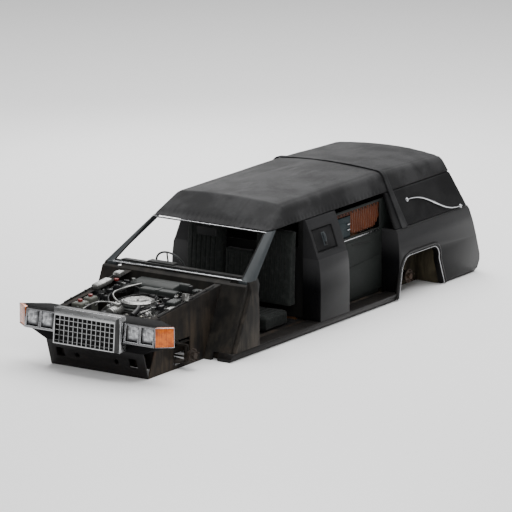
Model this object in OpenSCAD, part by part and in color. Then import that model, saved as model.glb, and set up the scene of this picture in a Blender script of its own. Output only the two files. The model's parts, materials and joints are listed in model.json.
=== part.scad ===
// Stripped hearse body: shell, cabin, load space and bare running gear.
// The car faces -Y, its left side is +X, and it rests on its sills and rails at Z = 0.
// Modules work in stations: Y counts back from the plane of the front corner lamps.

/* [Overall] */
// Width over the front corner lamps
body_w = 1980; // [1800:10:2200]
// Height of the belt line above the sill bottom
belt_z = 750; // [690:5:820]
// Height of the foot of the glasshouse
cabin_z = 790; // [760:5:860]
// Height of the gutter over the side doors
gutter_z = 1190; // [1130:5:1230]
// Height of the roof at its shoulders
roof_z = 1418; // [1390:2:1500]
// Rise of the roof from shoulder to centre line
roof_crown = 32; // [5:1:60]

/* [Stations] */
// How far the lamp bezels stand ahead of the corner lamps
lamp_out = 168; // [120:2:200]
// How far the grille stands ahead of the corner lamps
nose_out = 267; // [230:1:330]
// Corner lamps to the cowl
cowl_y = 1450; // [1350:10:1600]
// Cowl to the front door opening
kick_w = 150; // [120:5:200]
// Length of the front door opening
front_door_w = 1200; // [1100:10:1400]
// Length of the panel between the doors
post_w = 580; // [480:10:700]
// Length of the rear side door opening
side_door_w = 1020; // [850:10:1200]
// Length of the rear quarter
quarter_w = 1710; // [1600:10:1900]

/* [Glasshouse] */
// Half width of the roof at the shoulders
roof_hw = 732; // [690:2:780]
// Radius of the roof shoulder
shoulder_r = 110; // [60:5:130]
// Thickness of roof, pillars and landau panels
shell_t = 40; // [25:1:55]
// Windscreen header, back from the cowl
header_run = 663; // [600:5:720]
// Height of the windscreen header
header_z = 1209; // [1195:1:1240]
// Front edge of the roof, back from the header
brow_run = 364; // [300:4:420]
// Width of the raised roof band
band_w = 75; // [50:1:110]
// How far the roof band stands proud
band_t = 14; // [8:1:24]

/* [Body] */
// Height of the sills
sill_h = 85; // [60:1:110]
// Thickness of the quarter panel skin
skin_t = 45; // [30:1:60]
// Depth of the jambs at door posts
inner_hw = 744; // [725:1:760]
// Half width between the front wheel well walls
well_hw = 620; // [590:2:650]
// Thickness of sheet-metal walls
sheet_t = 15; // [8:1:20]
// Height of the rear wheel arch
arch_z = 470; // [430:2:500]
// Rear arch, front edge behind the door opening
arch_in = 2; // [0:1:20]
// Length of the rear arch at its foot
arch_w = 943; // [880:1:980]
// Width and height of the recess for the coach lamp
coach_w = 400; // [300:5:440]
coach_h = 270; // [220:5:290]

/* [Nose] */
// Half width of the grille face
grille_hw = 391; // [330:1:410]
// Height of the grille foot and head
grille_z0 = 316; // [300:1:340]
grille_z1 = 660; // [630:1:690]
// Columns and rows of the grille
grille_cols = 13; // [9:1:17]
grille_rows = 5; // [3:1:7]
// Height of the lamps, foot and head
lamp_z0 = 405; // [385:1:430]
lamp_z1 = 618; // [600:1:640]
// Inner and outer edge of a headlamp pair
lamp_x0 = 436; // [430:1:460]
lamp_x1 = 832; // [780:1:850]

/* [Running gear] */
// Station of the front wheel centres
front_axle_y = 620; // [560:5:680]
// Rear wheel centres behind the door opening
rear_axle_run = 500; // [450:5:540]
// Height of the wheel centres with the body down on its sills
hub_z = 155; // [145:1:170]
// Half track: centre line to the wheel seat
track_hw = 790; // [770:1:810]
// Bolt circle, radius of a wheel stud, and its length
stud_pcd = 127; // [110:1:140]
stud_r = 6.35; // [5:0.05:8]
stud_l = 32; // [24:1:40]
// Radius of the hub flange
flange_r = 78; // [74:1:90]
// Kingpin to the eye of the steering arm
steer_arm = 110; // [90:1:125]

/* [Inside] */
// Half width of the bench
bench_hw = 700; // [640:5:715]
// Radius of the steering wheel rim
wheel_r = 195; // [170:1:210]
// Tilt of the steering wheel from upright
wheel_tilt = 25; // [15:1:35]
// Top of the load deck
deck_z = 365; // [350:1:400]
// Half width of the rear door
door_hw = 640; // [560:5:650]
// Head of the rear door
door_z1 = 1250; // [1150:5:1270]

/* [Hidden] */
$fn = 48;
gap = 0.3;
sill_hw = body_w / 2 - 15;
belt_hw = body_w / 2 - 40;
cabin_hw = belt_hw - 20;
door_y = cowl_y + kick_w;
post_y = door_y + front_door_w;
side_y = post_y + post_w;
quarter_y = side_y + side_door_w;
tail_y = quarter_y + quarter_w;
mid_y = (tail_y - nose_out) / 2;
header_y = cowl_y + header_run;
brow_y = header_y + brow_run;
band_y = quarter_y + 30;
rear_top_y = tail_y - 410;
rear_axle_y = quarter_y + rear_axle_run;
screen_y = cowl_y + 29;
// The toe board leans back from its foot to the cowl
toe_y = cowl_y - 388;
toe_z = 735;
function toe(z) = toe_y + (cowl_y - 50 - toe_y) * z / toe_z;
nose_y = -lamp_out + 74;
nose_back = 150;
nose_hw = body_w / 2 - 30;
engine_y = front_axle_y - 180;
spring_x0 = 505;
spring_w = 60;
tunnel_hw = 215;
tunnel_z = 370;
tail_lamp_x0 = belt_hw - 180;
tail_lamp_x1 = belt_hw - 45;
roof_rear_z = roof_z - 44;
// Lean of the glasshouse sides, tangent to the shoulder
lean_dx = cabin_hw - roof_hw + shoulder_r;
lean_dz = roof_z - shoulder_r - cabin_z;
lean = atan(lean_dx / lean_dz) - asin(shoulder_r / norm([lean_dx, lean_dz]));
// Plane of the rear door, from the tail's crest to the roof's rear edge
crest_z = 200;
rake = atan((tail_y - rear_top_y) / (roof_rear_z - crest_z));
door_z0 = 283;
door_t = 48;
hinge_out = 9.5;
door_foot = (door_z0 - crest_z) / cos(rake);
door_up = (door_z1 - crest_z) / cos(rake);
door_gap = 7;
wall_x = inner_hw - 22;
arch_y0 = quarter_y + arch_in;
tub_y0 = quarter_y + 40;
tub_y1 = arch_y0 + arch_w;
tub_z = arch_z + 50;
front_rail_z = 120;
rail_h = 80;
kick_z = 228;
rail_x0 = 430;
rail_w = 70;
side_rail_x0 = 715;
bench_y = post_y - 660;
bench_z = 232;
back_y0 = post_y - 190;
back_y1 = post_y - 30;
low_back_z = 820;
tall_back_z = 1090;
hub_gap = 0.5;
camber = 0.3;
king_x = track_hw - 90;
steer_tip_y = front_axle_y + steer_arm;
wheel_c = [-370, cowl_y + 452, 715];
shaft_r = 12;
cowl_z = 690;

// ---- helpers ----
module place() { translate([0, -mid_y, 0]) children(); }
module both() { children(); mirror([1, 0, 0]) children(); }
// Extrudes an (x, z) outline along Y
module along_y(y0, y1) {
    translate([0, y1, 0]) rotate([90, 0, 0]) linear_extrude(y1 - y0) children();
}
// Extrudes a (y, z) outline along X
module along_x(x0, x1) {
    translate([x0, 0, 0]) rotate([90, 0, 90]) linear_extrude(x1 - x0) children();
}
module box(a, b) { translate(a) cube(b - a); }
function flip(p) = [for (i = [len(p) - 1 : -1 : 0]) [-p[i][0], p[i][1]]];
function arc(c, r, a0, a1, n) = [for (i = [0 : n]) c + r * [cos(a0 + (a1 - a0) * i / n),
    sin(a0 + (a1 - a0) * i / n)]];

// ---- outer shapes ----
side_line = [[sill_hw - 30, 0], [sill_hw, 45], [sill_hw, 430], [sill_hw - 6, 600],
    [belt_hw, belt_z], [cabin_hw, cabin_z]];
module envelope(y0, y1) { along_y(y0, y1) polygon(concat(side_line, flip(side_line))); }

function crown_pts(hw, z, rise, n) = [for (i = [0 : n]) let (s = 1 - 2 * i / n)
    [hw * s, z + rise * (1 - s * s)]];
function section(hw, z, r, rise) = concat(arc([hw - r, z - r], r, 0, 80, 5),
    crown_pts(hw - r, z, rise, 8), arc([r - hw, z - r], r, 100, 180, 5));
module slice(y, hw, z, r, rise) { along_y(y, y + 1) polygon(section(hw, z, r, rise)); }
// The glasshouse as one closed body, t inside its outer face
module cabin(t) {
    foot = t > 0 ? 60 : 0;
    hull() {
        box([-cabin_hw + t, screen_y + t * 1.6 - foot, cabin_z - foot],
            [cabin_hw - t, tail_y - 210 - t, cabin_z + 1]);
        slice(header_y + t, roof_hw + 13 - t, header_z - t * 0.4, 40, 10);
        slice(brow_y + t * 0.3, roof_hw - 20 - t, roof_z - t, shoulder_r, roof_crown * 0.7);
        slice(band_y, roof_hw - t, roof_z - t, shoulder_r, roof_crown);
        slice(rear_top_y - 1 - t * 1.2, roof_hw + 16 - t, roof_rear_z - t, shoulder_r, roof_crown + 14);
    }
}
module cabin_shell() { difference() { cabin(0); cabin(shell_t); } }
// A frame lying on the left side of the glasshouse: x outward, y back, z up the slope
module on_side() { translate([cabin_hw, 0, cabin_z]) rotate([0, -lean, 0]) children(); }
// A frame lying in the rear door's plane: x right across, y outward, z up the slope
module on_rear() { translate([0, tail_y, crest_z]) rotate([rake, 0, 0]) children(); }
// Space of the rear door, grown by g all round
module rear_hole(g) {
    on_rear() box([-door_hw - g, -150, door_foot - g], [door_hw + g, 60, door_up + g]);
}
arch_pts = concat([[arch_y0 - 2, -10]], arc([arch_y0 + 238, arch_z - 180], 180, 168, 90, 8),
    arc([arch_y0 + 708, arch_z - 120], 120, 90, -17, 8), [[arch_y0 + arch_w + 3, -10]]);

// ---- floor and frame ----
rail_line = [[80, front_rail_z], [toe_y - 82, front_rail_z], [toe_y + 68, 0], [toe_y + 168, 0],
    [toe_y + 168, rail_h], [toe_y + 98, rail_h], [toe_y - 52, front_rail_z + rail_h],
    [80, front_rail_z + rail_h]];
kick_line = [[quarter_y - 110, 0], [quarter_y + 20, 0], [quarter_y + 240, kick_z],
    [quarter_y + 760, kick_z], [quarter_y + 960, 110], [tail_y - 160, 110], [tail_y - 160, 190],
    [quarter_y + 980, 190], [quarter_y + 780, kick_z + rail_h], [quarter_y + 220, kick_z + rail_h],
    [quarter_y - 20, rail_h], [quarter_y - 110, rail_h]];
module bumper_plate(y, z) {
    difference() {
        box([rail_x0 - 15, y, z - 10], [rail_x0 + rail_w + 15, y + 8, z + 90]);
        for (dx = [-30, 30], dz = [-30, 30])
            translate([rail_x0 + rail_w / 2 + dx, y - 1, z + 40 + dz]) rotate([-90, 0, 0])
                cylinder(r = 5.5, h = 10, $fn = 24);
    }
}
module frame_rails() {
    color("#2b2724") {
        both() {
            along_x(rail_x0, rail_x0 + rail_w) polygon(rail_line);
            along_x(rail_x0, rail_x0 + rail_w) polygon(kick_line);
            box([rail_x0, toe_y + 88, 0], [side_rail_x0 + 1, toe_y + 168, rail_h]);
            box([rail_x0, quarter_y - 110, 0], [side_rail_x0 + 1, quarter_y - 40, rail_h]);
            box([side_rail_x0, toe_y + 88, 0], [side_rail_x0 + 75, quarter_y - 40, rail_h]);
            bumper_plate(72, front_rail_z);
            bumper_plate(tail_y - 160, 110);
            for (y = [rear_axle_y - 450, rear_axle_y + 405])
                box([rail_x0 + rail_w - 1, y, 150], [spring_x0 + spring_w, y + 45, 190]);
        }
        for (y = [2000, 3200])
            box([-side_rail_x0 - 1, y, 0], [side_rail_x0 + 1, y + 60, 28]);
        box([-rail_x0 - 1, 190, front_rail_z], [rail_x0 + 1, 250, front_rail_z + 60]);
        box([-rail_x0 - 1, tail_y - 260, 110], [rail_x0 + 1, tail_y - 200, 170]);
    }
}
module floor_pan() {
    z = 30;
    t = 15;
    w = side_rail_x0 - gap;
    a = tunnel_hw;
    b = 110;
    color("#23211f") union() {
        along_y(toe_y + 170, cowl_y + 300) polygon([[w, z], [w, z + t], [a, z + t],
            [a - 55, tunnel_z], [55 - a, tunnel_z], [-a, z + t], [-w, z + t], [-w, z], [t - a, z],
            [t + 55 - a, tunnel_z - t], [a - t - 55, tunnel_z - t], [a - t, z]]);
        along_y(cowl_y + 285, quarter_y - 112) polygon([[w, z], [w, z + t], [b, z + t], [b - 20, 190],
            [20 - b, 190], [-b, z + t], [-w, z + t], [-w, z], [t - b, z],
            [t + 20 - b, 190 - t], [b - t - 20, 190 - t], [b - t, z]]);
    }
}
module sills() {
    x0 = side_rail_x0 + 75 + gap;
    color("#0c0c0d") both() intersection() {
        envelope(1000, quarter_y + 100);
        along_x(x0, sill_hw + 10) polygon([[toe_y, 0], [quarter_y - 40, 0], [quarter_y - 2, 45],
            [quarter_y - 2, sill_h], [toe_y + 38, sill_h], [toe_y, 40]]);
    }
}
module bulkhead() {
    hw = cabin_hw;
    color("#2c2622") difference() {
        along_x(-hw, hw) polygon([[toe_y, 0], [toe_y + 38, 0], [cowl_y + 15, cowl_z],
            [cowl_y + 190, cowl_z], [cowl_y + 190, cowl_z + 45], [screen_y + 12, cabin_z - 1],
            [cowl_y - 50, belt_z], [cowl_y - 50, toe_z]]);
        box([-520, toe_y - 60, -10], [520, toe_y + 240, 210]);
        both() box([side_rail_x0 - gap, toe_y - 60, -10], [hw + 60, toe_y + 240, sill_h]);
        box([-tunnel_hw - gap, toe_y - 60, -10], [tunnel_hw + gap, cowl_y + 50, tunnel_z + gap]);
        both() box([700, cowl_y - 10, 600], [hw + 60, cowl_y + 300, 900]);
        on_column() translate([0, 0, -900]) cylinder(r = 28 + gap, h = 900);
    }
}
module hinge_pillars() {
    color("#332d29") both() difference() {
        intersection() {
            envelope(1000, 1800);
            along_x(860, sill_hw + 10) polygon([[toe_y + 85, sill_h], [door_y, sill_h],
                [door_y, cabin_z - 1], [cowl_y + 17, cabin_z - 1], [cowl_y + 17, cowl_z + 2]]);
        }
        // holes for the two door hinges, in the rear face
        for (z = [200, 560], dz = [-25, 25], dx = [-15, 15])
            translate([908 + dx, door_y - 30, z + dz]) rotate([-90, 0, 0])
                cylinder(r = 4.5, h = 40, $fn = 24);
    }
}
module inner_fenders() {
    color("#38302a") both() difference() {
        union() {
            along_x(well_hw - sheet_t, well_hw) polygon([[39 + gap, 0], [toe(0) - gap, 0],
                [toe(722) - gap, 722], [toe(722) - gap, belt_z - 6], [170, 606], [170, 280],
                [nose_back, 280]]);
            along_x(well_hw - 85, well_hw) polygon([[170, 594], [toe(722) - gap, belt_z - 18],
                [toe(722) - gap, belt_z - 6], [170, 606]]);
        }
        // opening for the arms and the steering link
        box([500, front_axle_y - 115, 40], [700, front_axle_y + 190, 300]);
    }
}

// ---- nose ----
module radiator_support() {
    color("#161616") difference() {
        box([gap - well_hw + sheet_t, nose_back + gap, 70], [well_hw - sheet_t - gap, nose_back + 18, 600]);
        box([-330, 100, 215], [330, 200, 575]);
        both() box([rail_x0 - 3, 100, 60], [rail_x0 + rail_w + 3, 200, front_rail_z + rail_h + gap]);
    }
}
module radiator() {
    color("#1d1e20") {
        box([-340, nose_back + 18 + gap, 205], [340, nose_back + 64, 580]);
        translate([-230, nose_back + 41, 580]) cylinder(r = 22, h = 14);
    }
}
module nose_panel() {
    color("#0a0a0b") difference() {
        hull() {
            translate([0, 0, lamp_z0]) linear_extrude(lamp_z1 - lamp_z0) polygon([[-nose_hw, 2],
                [-lamp_x1, nose_y], [lamp_x1, nose_y], [nose_hw, 2], [710, nose_back],
                [-710, nose_back]]);
            box([-well_hw, -68, 287], [well_hw, nose_back - 5, 288]);
        }
        box([-405, -300, 310], [405, 300, 590]);
        both() box([well_hw + 20, 20, 200], [1000, 300, lamp_z1 - 30]);
    }
}
module grille() {
    z0 = grille_z0;
    z1 = grille_z1;
    w = grille_hw;
    bar = 45;
    lean_out = 32;
    rows_z = (z1 - bar - z0 - 26) / grille_rows;
    cols_x = 2 * (w - 14) / grille_cols;
    color("#b9bcc0") {
        difference() {
            hull() {
                along_x(-w, w) polygon([[-nose_out, z0], [-nose_out + lean_out, z1],
                    [-nose_out + lean_out + 20, z1], [-nose_out + 20, z0]]);
                along_x(-w - 33, w + 33) polygon([[-nose_out + 51, z0 - 15], [-nose_out + 83, z1 + 20],
                    [nose_y - gap, z1 + 20], [nose_y - gap, z0 - 15]]);
            }
            box([-w + 14, -nose_out - 10, z0 + 12], [w - 14, 0, z1 - bar]);
        }
        for (i = [1 : grille_cols - 1])
            along_x(-w + 14 + i * cols_x - 4, -w + 14 + i * cols_x + 4) polygon([
                [-nose_out + 6, z0 + 11], [-nose_out + 34, z1 - bar + 1],
                [-nose_out + 54, z1 - bar + 1], [-nose_out + 26, z0 + 11]]);
        for (i = [0 : grille_rows - 1])
            box([-w + 13, -nose_out + 16 + i * 4, z0 + 36 + i * rows_z - 3],
                [w - 13, -nose_out + 34 + i * 4, z0 + 36 + i * rows_z + 3]);
    }
}
module headlamps() {
    rake_y = 36;
    color("#c9ccd0") both() difference() {
        along_x(lamp_x0, lamp_x1 - 1) polygon([[-lamp_out, lamp_z0], [-lamp_out + rake_y, lamp_z1],
            [nose_y - gap, lamp_z1], [nose_y - gap, lamp_z0]]);
        for (i = [0, 1])
            box([lamp_x0 + 24 + i * 190, -lamp_out - 10, lamp_z0 + 24],
                [lamp_x0 + 184 + i * 190, -lamp_out + 42, lamp_z1 - 22]);
    }
}
module corner_lamps() {
    color("#d8731c") both() translate([0, 0, lamp_z0 - 2]) linear_extrude(lamp_z1 - lamp_z0 + 2)
        polygon([[lamp_x1, -lamp_out + 14], [body_w / 2 - 8, -38], [body_w / 2, -24],
            [nose_hw + 2, 1.6], [lamp_x1, nose_y - 1]]);
}
module front_valance() {
    color("#0b0b0c") difference() {
        along_x(-well_hw, well_hw) polygon([[24, 0], [39, 0], [-50, 286.7], [-68, 286.7]]);
        // slots for the bumper brackets and the tow eyes
        both() {
            box([rail_x0 - 15, -100, front_rail_z - 10], [rail_x0 + rail_w + 15, 100, front_rail_z + 90]);
            translate([250, 0, 150]) rotate([90, 0, 0]) cylinder(r = 28, h = 300, center = true);
        }
    }
}

// ---- engine bay ----
module engine() {
    color("#5d5f60") union() {
        translate([0, engine_y, 0]) {
            box([-150, 0, 190], [150, 680, 440]);
            box([-120, 240, 125], [120, 620, 191]);
            both() translate([60, 40, 300]) rotate([0, 42, 0]) box([-85, 0, 30], [85, 600, 290]);
            box([-110, 80, 430], [110, 580, 540]);
            translate([0, 678, 205]) rotate([-90, 0, 0]) cylinder(r1 = 165, r2 = 120, h = 250);
            translate([0, 920, 175]) rotate([-90, 0, 0]) cylinder(r1 = 95, r2 = 80, h = 360);
            translate([0, 5, 270]) rotate([90, 0, 0]) cylinder(r = 80, h = 40);
            translate([0, 5, 430]) rotate([90, 0, 0]) cylinder(r = 60, h = 60);
            both() box([140, 280, front_rail_z + rail_h + gap], [rail_x0 + rail_w, 350, 228]);
        }
    }
}
module air_cleaner() {
    color("#8f9294") union() {
        translate([0, engine_y + 300, 540 + gap]) cylinder(r = 60, h = 40);
        translate([0, engine_y + 300, 577]) cylinder(r = 185, h = 58);
        box([90, engine_y + 100, 585], [160, engine_y + 200, 625]);
    }
}
module battery() {
    color("#202224") union() {
        box([300, 225, 395], [520, 395, 575]);
        for (x = [350, 470]) translate([x, 290, 574]) cylinder(r = 9, h = 16);
        box([290, 215, 385], [530, 405, 395]);
        box([430, 215, front_rail_z + rail_h + gap], [500, 260, 386]);
        box([430, 360, front_rail_z + rail_h + gap], [500, 405, 386]);
    }
}
module heater_box() {
    y0 = cowl_y - 300;
    color("#3a3d3d") along_x(-400, 160) polygon([[y0, 540], [toe(530) - gap, 530],
        [toe(705) - gap, 705], [y0 + 30, 690], [y0, 670]]);
}

// ---- glasshouse ----
module windscreen_frame() {
    color("#4a5052") difference() {
        intersection() {
            cabin_shell();
            along_x(-1100, 1100) polygon([[screen_y - 60, cabin_z], [door_y, cabin_z],
                [header_y + 117, gutter_z - gap], [header_y - 60, gutter_z - gap]]);
        }
        along_y(screen_y - 100, header_y + 300) polygon([[-cabin_hw + 112, cabin_z + 20],
            [cabin_hw - 112, cabin_z + 20], [roof_hw - 10, gutter_z + 5], [10 - roof_hw, gutter_z + 5]]);
    }
}
module roof_shell() {
    color("#444446") difference() {
        intersection() {
            cabin_shell();
            box([-1100, header_y - 60, gutter_z], [1100, tail_y, roof_z + 200]);
        }
        rear_hole(door_gap);
        along_y(header_y - 100, header_y + 22) polygon([[-roof_hw + 12, gutter_z - 10],
            [roof_hw - 12, gutter_z - 10], [roof_hw - 14, gutter_z + 6], [14 - roof_hw, gutter_z + 6]]);
    }
}
module roof_band() {
    color("#3c3c3e") intersection() {
        difference() { cabin(-band_t); cabin(-gap); }
        along_x(-1100, 1100) polygon([[band_y - 5, roof_z + 200], [band_y - 5 + band_w, roof_z + 200],
            [band_y + 10 + band_w, roof_z - 90], [band_y + 205, cabin_z], [band_y + 80, cabin_z],
            [band_y + 12, roof_z - 90]]);
    }
}
module door_posts() {
    color("#2a2b2c") both() difference() {
        intersection() {
            union() { envelope(post_y, side_y); cabin(0); }
            box([inner_hw, post_y, sill_h], [1100, side_y, gutter_z - gap]);
        }
        on_side() box([-25, post_y + 40, 45], [100, post_y + 40 + coach_w, 45 + coach_h]);
        // latch holes in the front face, striker holes in the rear one
        for (z = [400, 520]) translate([900, post_y - 1, z]) rotate([-90, 0, 0])
            cylinder(r = 5, h = 31, $fn = 24);
        for (z = [430, 550]) translate([900, side_y - 30, z]) rotate([-90, 0, 0])
            cylinder(r = 5, h = 31, $fn = 24);
    }
}
module coach_lamps() {
    c = post_y + 40 + coach_w / 2;
    color("#8d8f90") both() on_side() {
        box([-25 + gap, c - 30, 110], [-17, c + 30, 240]);
        box([-18, c - 20, 120], [2, c + 20, 230]);
    }
}
side_profile = [[quarter_y, 0], [tail_y - 76, 0], [tail_y, 130], [tail_y, crest_z],
    [tail_y - tan(rake) * (cabin_z - crest_z), cabin_z], [quarter_y, cabin_z]];
module quarter_panels() {
    color("#101011") both() difference() {
        intersection() {
            envelope(quarter_y, tail_y);
            along_x(door_hw + door_gap, 1100) polygon(side_profile);
        }
        // hollow behind the skin
        along_x(0, sill_hw - skin_t - 25) polygon([[quarter_y + 40, -10], [tail_y - 130, -10],
            [tail_y - 55, 130], [tail_y - 55, crest_z],
            [tail_y - 55 - tan(rake) * (cabin_z + 50 - crest_z), cabin_z + 50],
            [quarter_y + 40, cabin_z + 50]]);
        box([0, quarter_y - 1, -10], [inner_hw, quarter_y + 300, cabin_z + 10]);
        along_x(0, 1100) polygon(arch_pts);
        box([0, quarter_y - 1, -10], [1100, quarter_y + 60, 45]);
        // seat of the tail lamp
        on_rear() box([tail_lamp_x0, -40, 90], [tail_lamp_x1, 30, 520]);
    }
}
module landau_panels() {
    color("#1f1f21") both() difference() {
        intersection() {
            cabin_shell();
            box([100, quarter_y, cabin_z + gap], [1100, tail_y, gutter_z - gap]);
        }
        rear_hole(door_gap);
        on_rear() translate([door_hw + 12, hinge_out, door_up - 163]) cylinder(r = 12, h = 66);
    }
}
// S curve of the landau bar on the side plane, with its half thickness h
bar_y0 = quarter_y + 350;
bar_l = 1030;
function bar_c(s) = [bar_y0 + bar_l * s, 285 - 265 * s + 42 * sin(360 * s)];
function bar_d(s) = let (d = bar_c(s + 0.01) - bar_c(s - 0.01)) d / norm(d);
function bar_h(s) = 7 + 7 * sin(180 * s);
bar_pts = concat([for (i = [0 : 24]) let (s = i / 24) bar_c(s) + bar_h(s) * [-bar_d(s)[1], bar_d(s)[0]]],
    [for (i = [24 : -1 : 0]) let (s = i / 24) bar_c(s) - bar_h(s) * [-bar_d(s)[1], bar_d(s)[0]]]);
module landau_bars() {
    color("#c4c7ca") both() on_side() {
        along_x(8, 20) polygon(bar_pts);
        for (s = [0.02, 0.98]) translate([gap + 0.2, bar_c(s)[0], bar_c(s)[1]]) rotate([0, 90, 0])
            cylinder(r = 15, h = 22);
    }
}
module wheelhouses() {
    x0 = well_hw - sheet_t - 5;
    x1 = sill_hw - skin_t - 25;
    color("#2f2a22") both() difference() {
        box([x0, tub_y0, 0], [x1, tub_y1, tub_z]);
        box([x0 + sheet_t, tub_y0 + sheet_t, -10], [x1 + 10, tub_y1 - sheet_t, tub_z - sheet_t]);
        box([x0 - 10, rear_axle_y - 60, -10], [x0 + 100, rear_axle_y + 60, 290]);
    }
}

// ---- cabin ----
module dashboard() {
    y0 = cowl_y + 60;
    color("#151616") difference() {
        along_x(-855, 855) polygon([[y0, 480], [y0 + 120, 480], [y0 + 250, 560], [y0 + 275, 700],
            [y0 + 240, 775], [y0 + 145, 782], [y0 + 145, cowl_z - gap], [y0, cowl_z - gap]]);
        on_column() translate([0, 0, -900]) cylinder(r = 39 + gap, h = 900);
    }
}
// The column's own frame: z towards the driver, origin at the wheel's centre
module on_column() { translate(wheel_c) rotate([-90 + wheel_tilt, 0, 0]) children(); }
module steering_column() {
    color("#262727") on_column() difference() {
        union() {
            translate([0, 0, -560]) cylinder(r = 28, h = 490);
            translate([0, 0, -240]) cylinder(r = 39, h = 170);
        }
        translate([0, 0, -570]) cylinder(r = shaft_r + 0.05, h = 600);
    }
}
module steering_wheel() {
    color("#3a3d3d") on_column() union() {
        rotate_extrude($fn = 72) translate([wheel_r - 11, 0]) circle(r = 11, $fn = 24);
        translate([0, 0, -60]) cylinder(r = 42, h = 52);
        translate([0, 0, -555]) cylinder(r = shaft_r, h = 500);
        for (a = [10, 170, 270]) rotate([0, 0, a]) translate([30, -16, -22])
            cube([wheel_r - 45, 32, 16]);
    }
}
module rear_view_mirror() {
    color("#0d0d0e") union() {
        box([-160, header_y - 20, 1062], [80, header_y + 10, 1150]);
        translate([-40, header_y - 5, 1140]) rotate([-18, 0, 0]) cylinder(r = 8, h = 57);
    }
}
module bench_cushion() {
    color("#2c2f2e") difference() {
        box([-bench_hw, bench_y, 60], [bench_hw, back_y1 - 4, bench_z]);
        box([-150, bench_y - 10, 40], [150, post_y + 10, 205]);
    }
}
module bench_backrest() {
    color("#2c2f2e") union() {
        along_x(-bench_hw, bench_hw) polygon([[back_y0 - 10, bench_z + gap], [back_y1 - 25, bench_z + gap],
            [back_y1, low_back_z], [back_y0 + 30, low_back_z]]);
        both() along_x(190, bench_hw) polygon([[back_y0 + 28, low_back_z - 5],
            [back_y1 - gap, low_back_z - 5], [back_y1 + 15, tall_back_z], [back_y0 + 60, tall_back_z]]);
    }
}
module partition() {
    y0 = post_y + 60;
    color("#141515") difference() {
        union() {
            intersection() {
                cabin(shell_t + gap);
                box([-inner_hw + gap, y0, cabin_z], [inner_hw - gap, y0 + 30, 1600]);
            }
            box([-inner_hw + gap, y0, rail_h + gap], [inner_hw - gap, y0 + 30, cabin_z + 1]);
        }
        box([-120, y0 - 10, 0], [120, y0 + 40, 205]);
        box([-320, y0 - 10, 860], [320, y0 + 40, 1300]);
        both() box([370, y0 - 10, 860], [640, y0 + 40, 1250]);
    }
}
module side_trims() {
    top_z = 1135;
    color("#262a28") both() difference() {
        along_x(wall_x, inner_hw - 2) polygon([[side_y + gap, rail_h + gap], [quarter_y - 60, rail_h + gap],
            [quarter_y - 60, 120], [quarter_y + 38, 120], [quarter_y + 38, tub_z + gap],
            [tub_y1 + 2, tub_z + gap], [tub_y1 + 2, 200], [tail_y - 180, 200],
            [tail_y - 180 - 0.3596 * 580, cabin_z], [tail_y - 500, top_z], [side_y + gap, top_z]]);
        box([wall_x - 10, side_y + 90, cabin_z + 25], [inner_hw + 10, quarter_y - 40, 1105]);
    }
}
module drapes() {
    color("#6b3514") both() box([wall_x - 16, side_y + 70, cabin_z + 8],
        [wall_x - gap, quarter_y - 20, 1125]);
}
module load_deck() {
    w = well_hw - sheet_t - 5 - gap;
    y0 = post_y + 60 + 30 + gap;
    color("#4a3a2c") union() {
        box([-w, y0, deck_z - 20], [w, tail_y - 170, deck_z]);
        box([-w, y0, 45 + gap], [-120, y0 + 30, deck_z - 19]);
        box([120, y0, 45 + gap], [w, y0 + 30, deck_z - 19]);
        for (y = [quarter_y + 260, quarter_y + 700])
            box([-w + 60, y, kick_z + rail_h + gap], [w - 60, y + 50, deck_z - 19]);
        both() box([330, y0, deck_z - 1], [350, tail_y - 180, deck_z + 14]);
    }
}

// ---- tail ----
module rear_door() {
    color("#121213") on_rear() difference() {
        union() {
            box([-door_hw, -door_t, door_foot], [door_hw, -1, door_up]);
            for (z = [door_foot + 120, door_up - 160]) {
                translate([-door_hw - 12, hinge_out, z]) cylinder(r = 9, h = 60, $fn = 24);
                box([-door_hw - 12, 1, z], [-door_hw + 10, hinge_out, z + 60]);
                box([-door_hw + 2, -1.5, z], [-door_hw + 70, 8, z + 60]);
            }
        }
        box([-door_hw + 110, -door_t - 10, 700], [door_hw - 110, 10, door_up - 90]);
    }
}
module tail_lamps() {
    color("#7a1512") both() on_rear()
        box([tail_lamp_x0 + 2, gap - 40, 92], [tail_lamp_x1 - 2, -1, 518]);
}
module tail_panel() {
    color("#0e0e0f") difference() {
        along_x(-door_hw - door_gap + gap, door_hw + door_gap - gap) polygon([[tail_y - 100, 20],
            [tail_y - 60, 20], [tail_y, 130], [tail_y, crest_z], [tail_y - 22, 258],
            [tail_y - 100, 258]]);
        box([rail_x0 - 20, tail_y - 200, 90], [rail_x0 + rail_w + 20, tail_y + 10, 210]);
        box([-rail_x0 - rail_w - 20, tail_y - 200, 90], [20 - rail_x0, tail_y + 10, 210]);
    }
}

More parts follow.
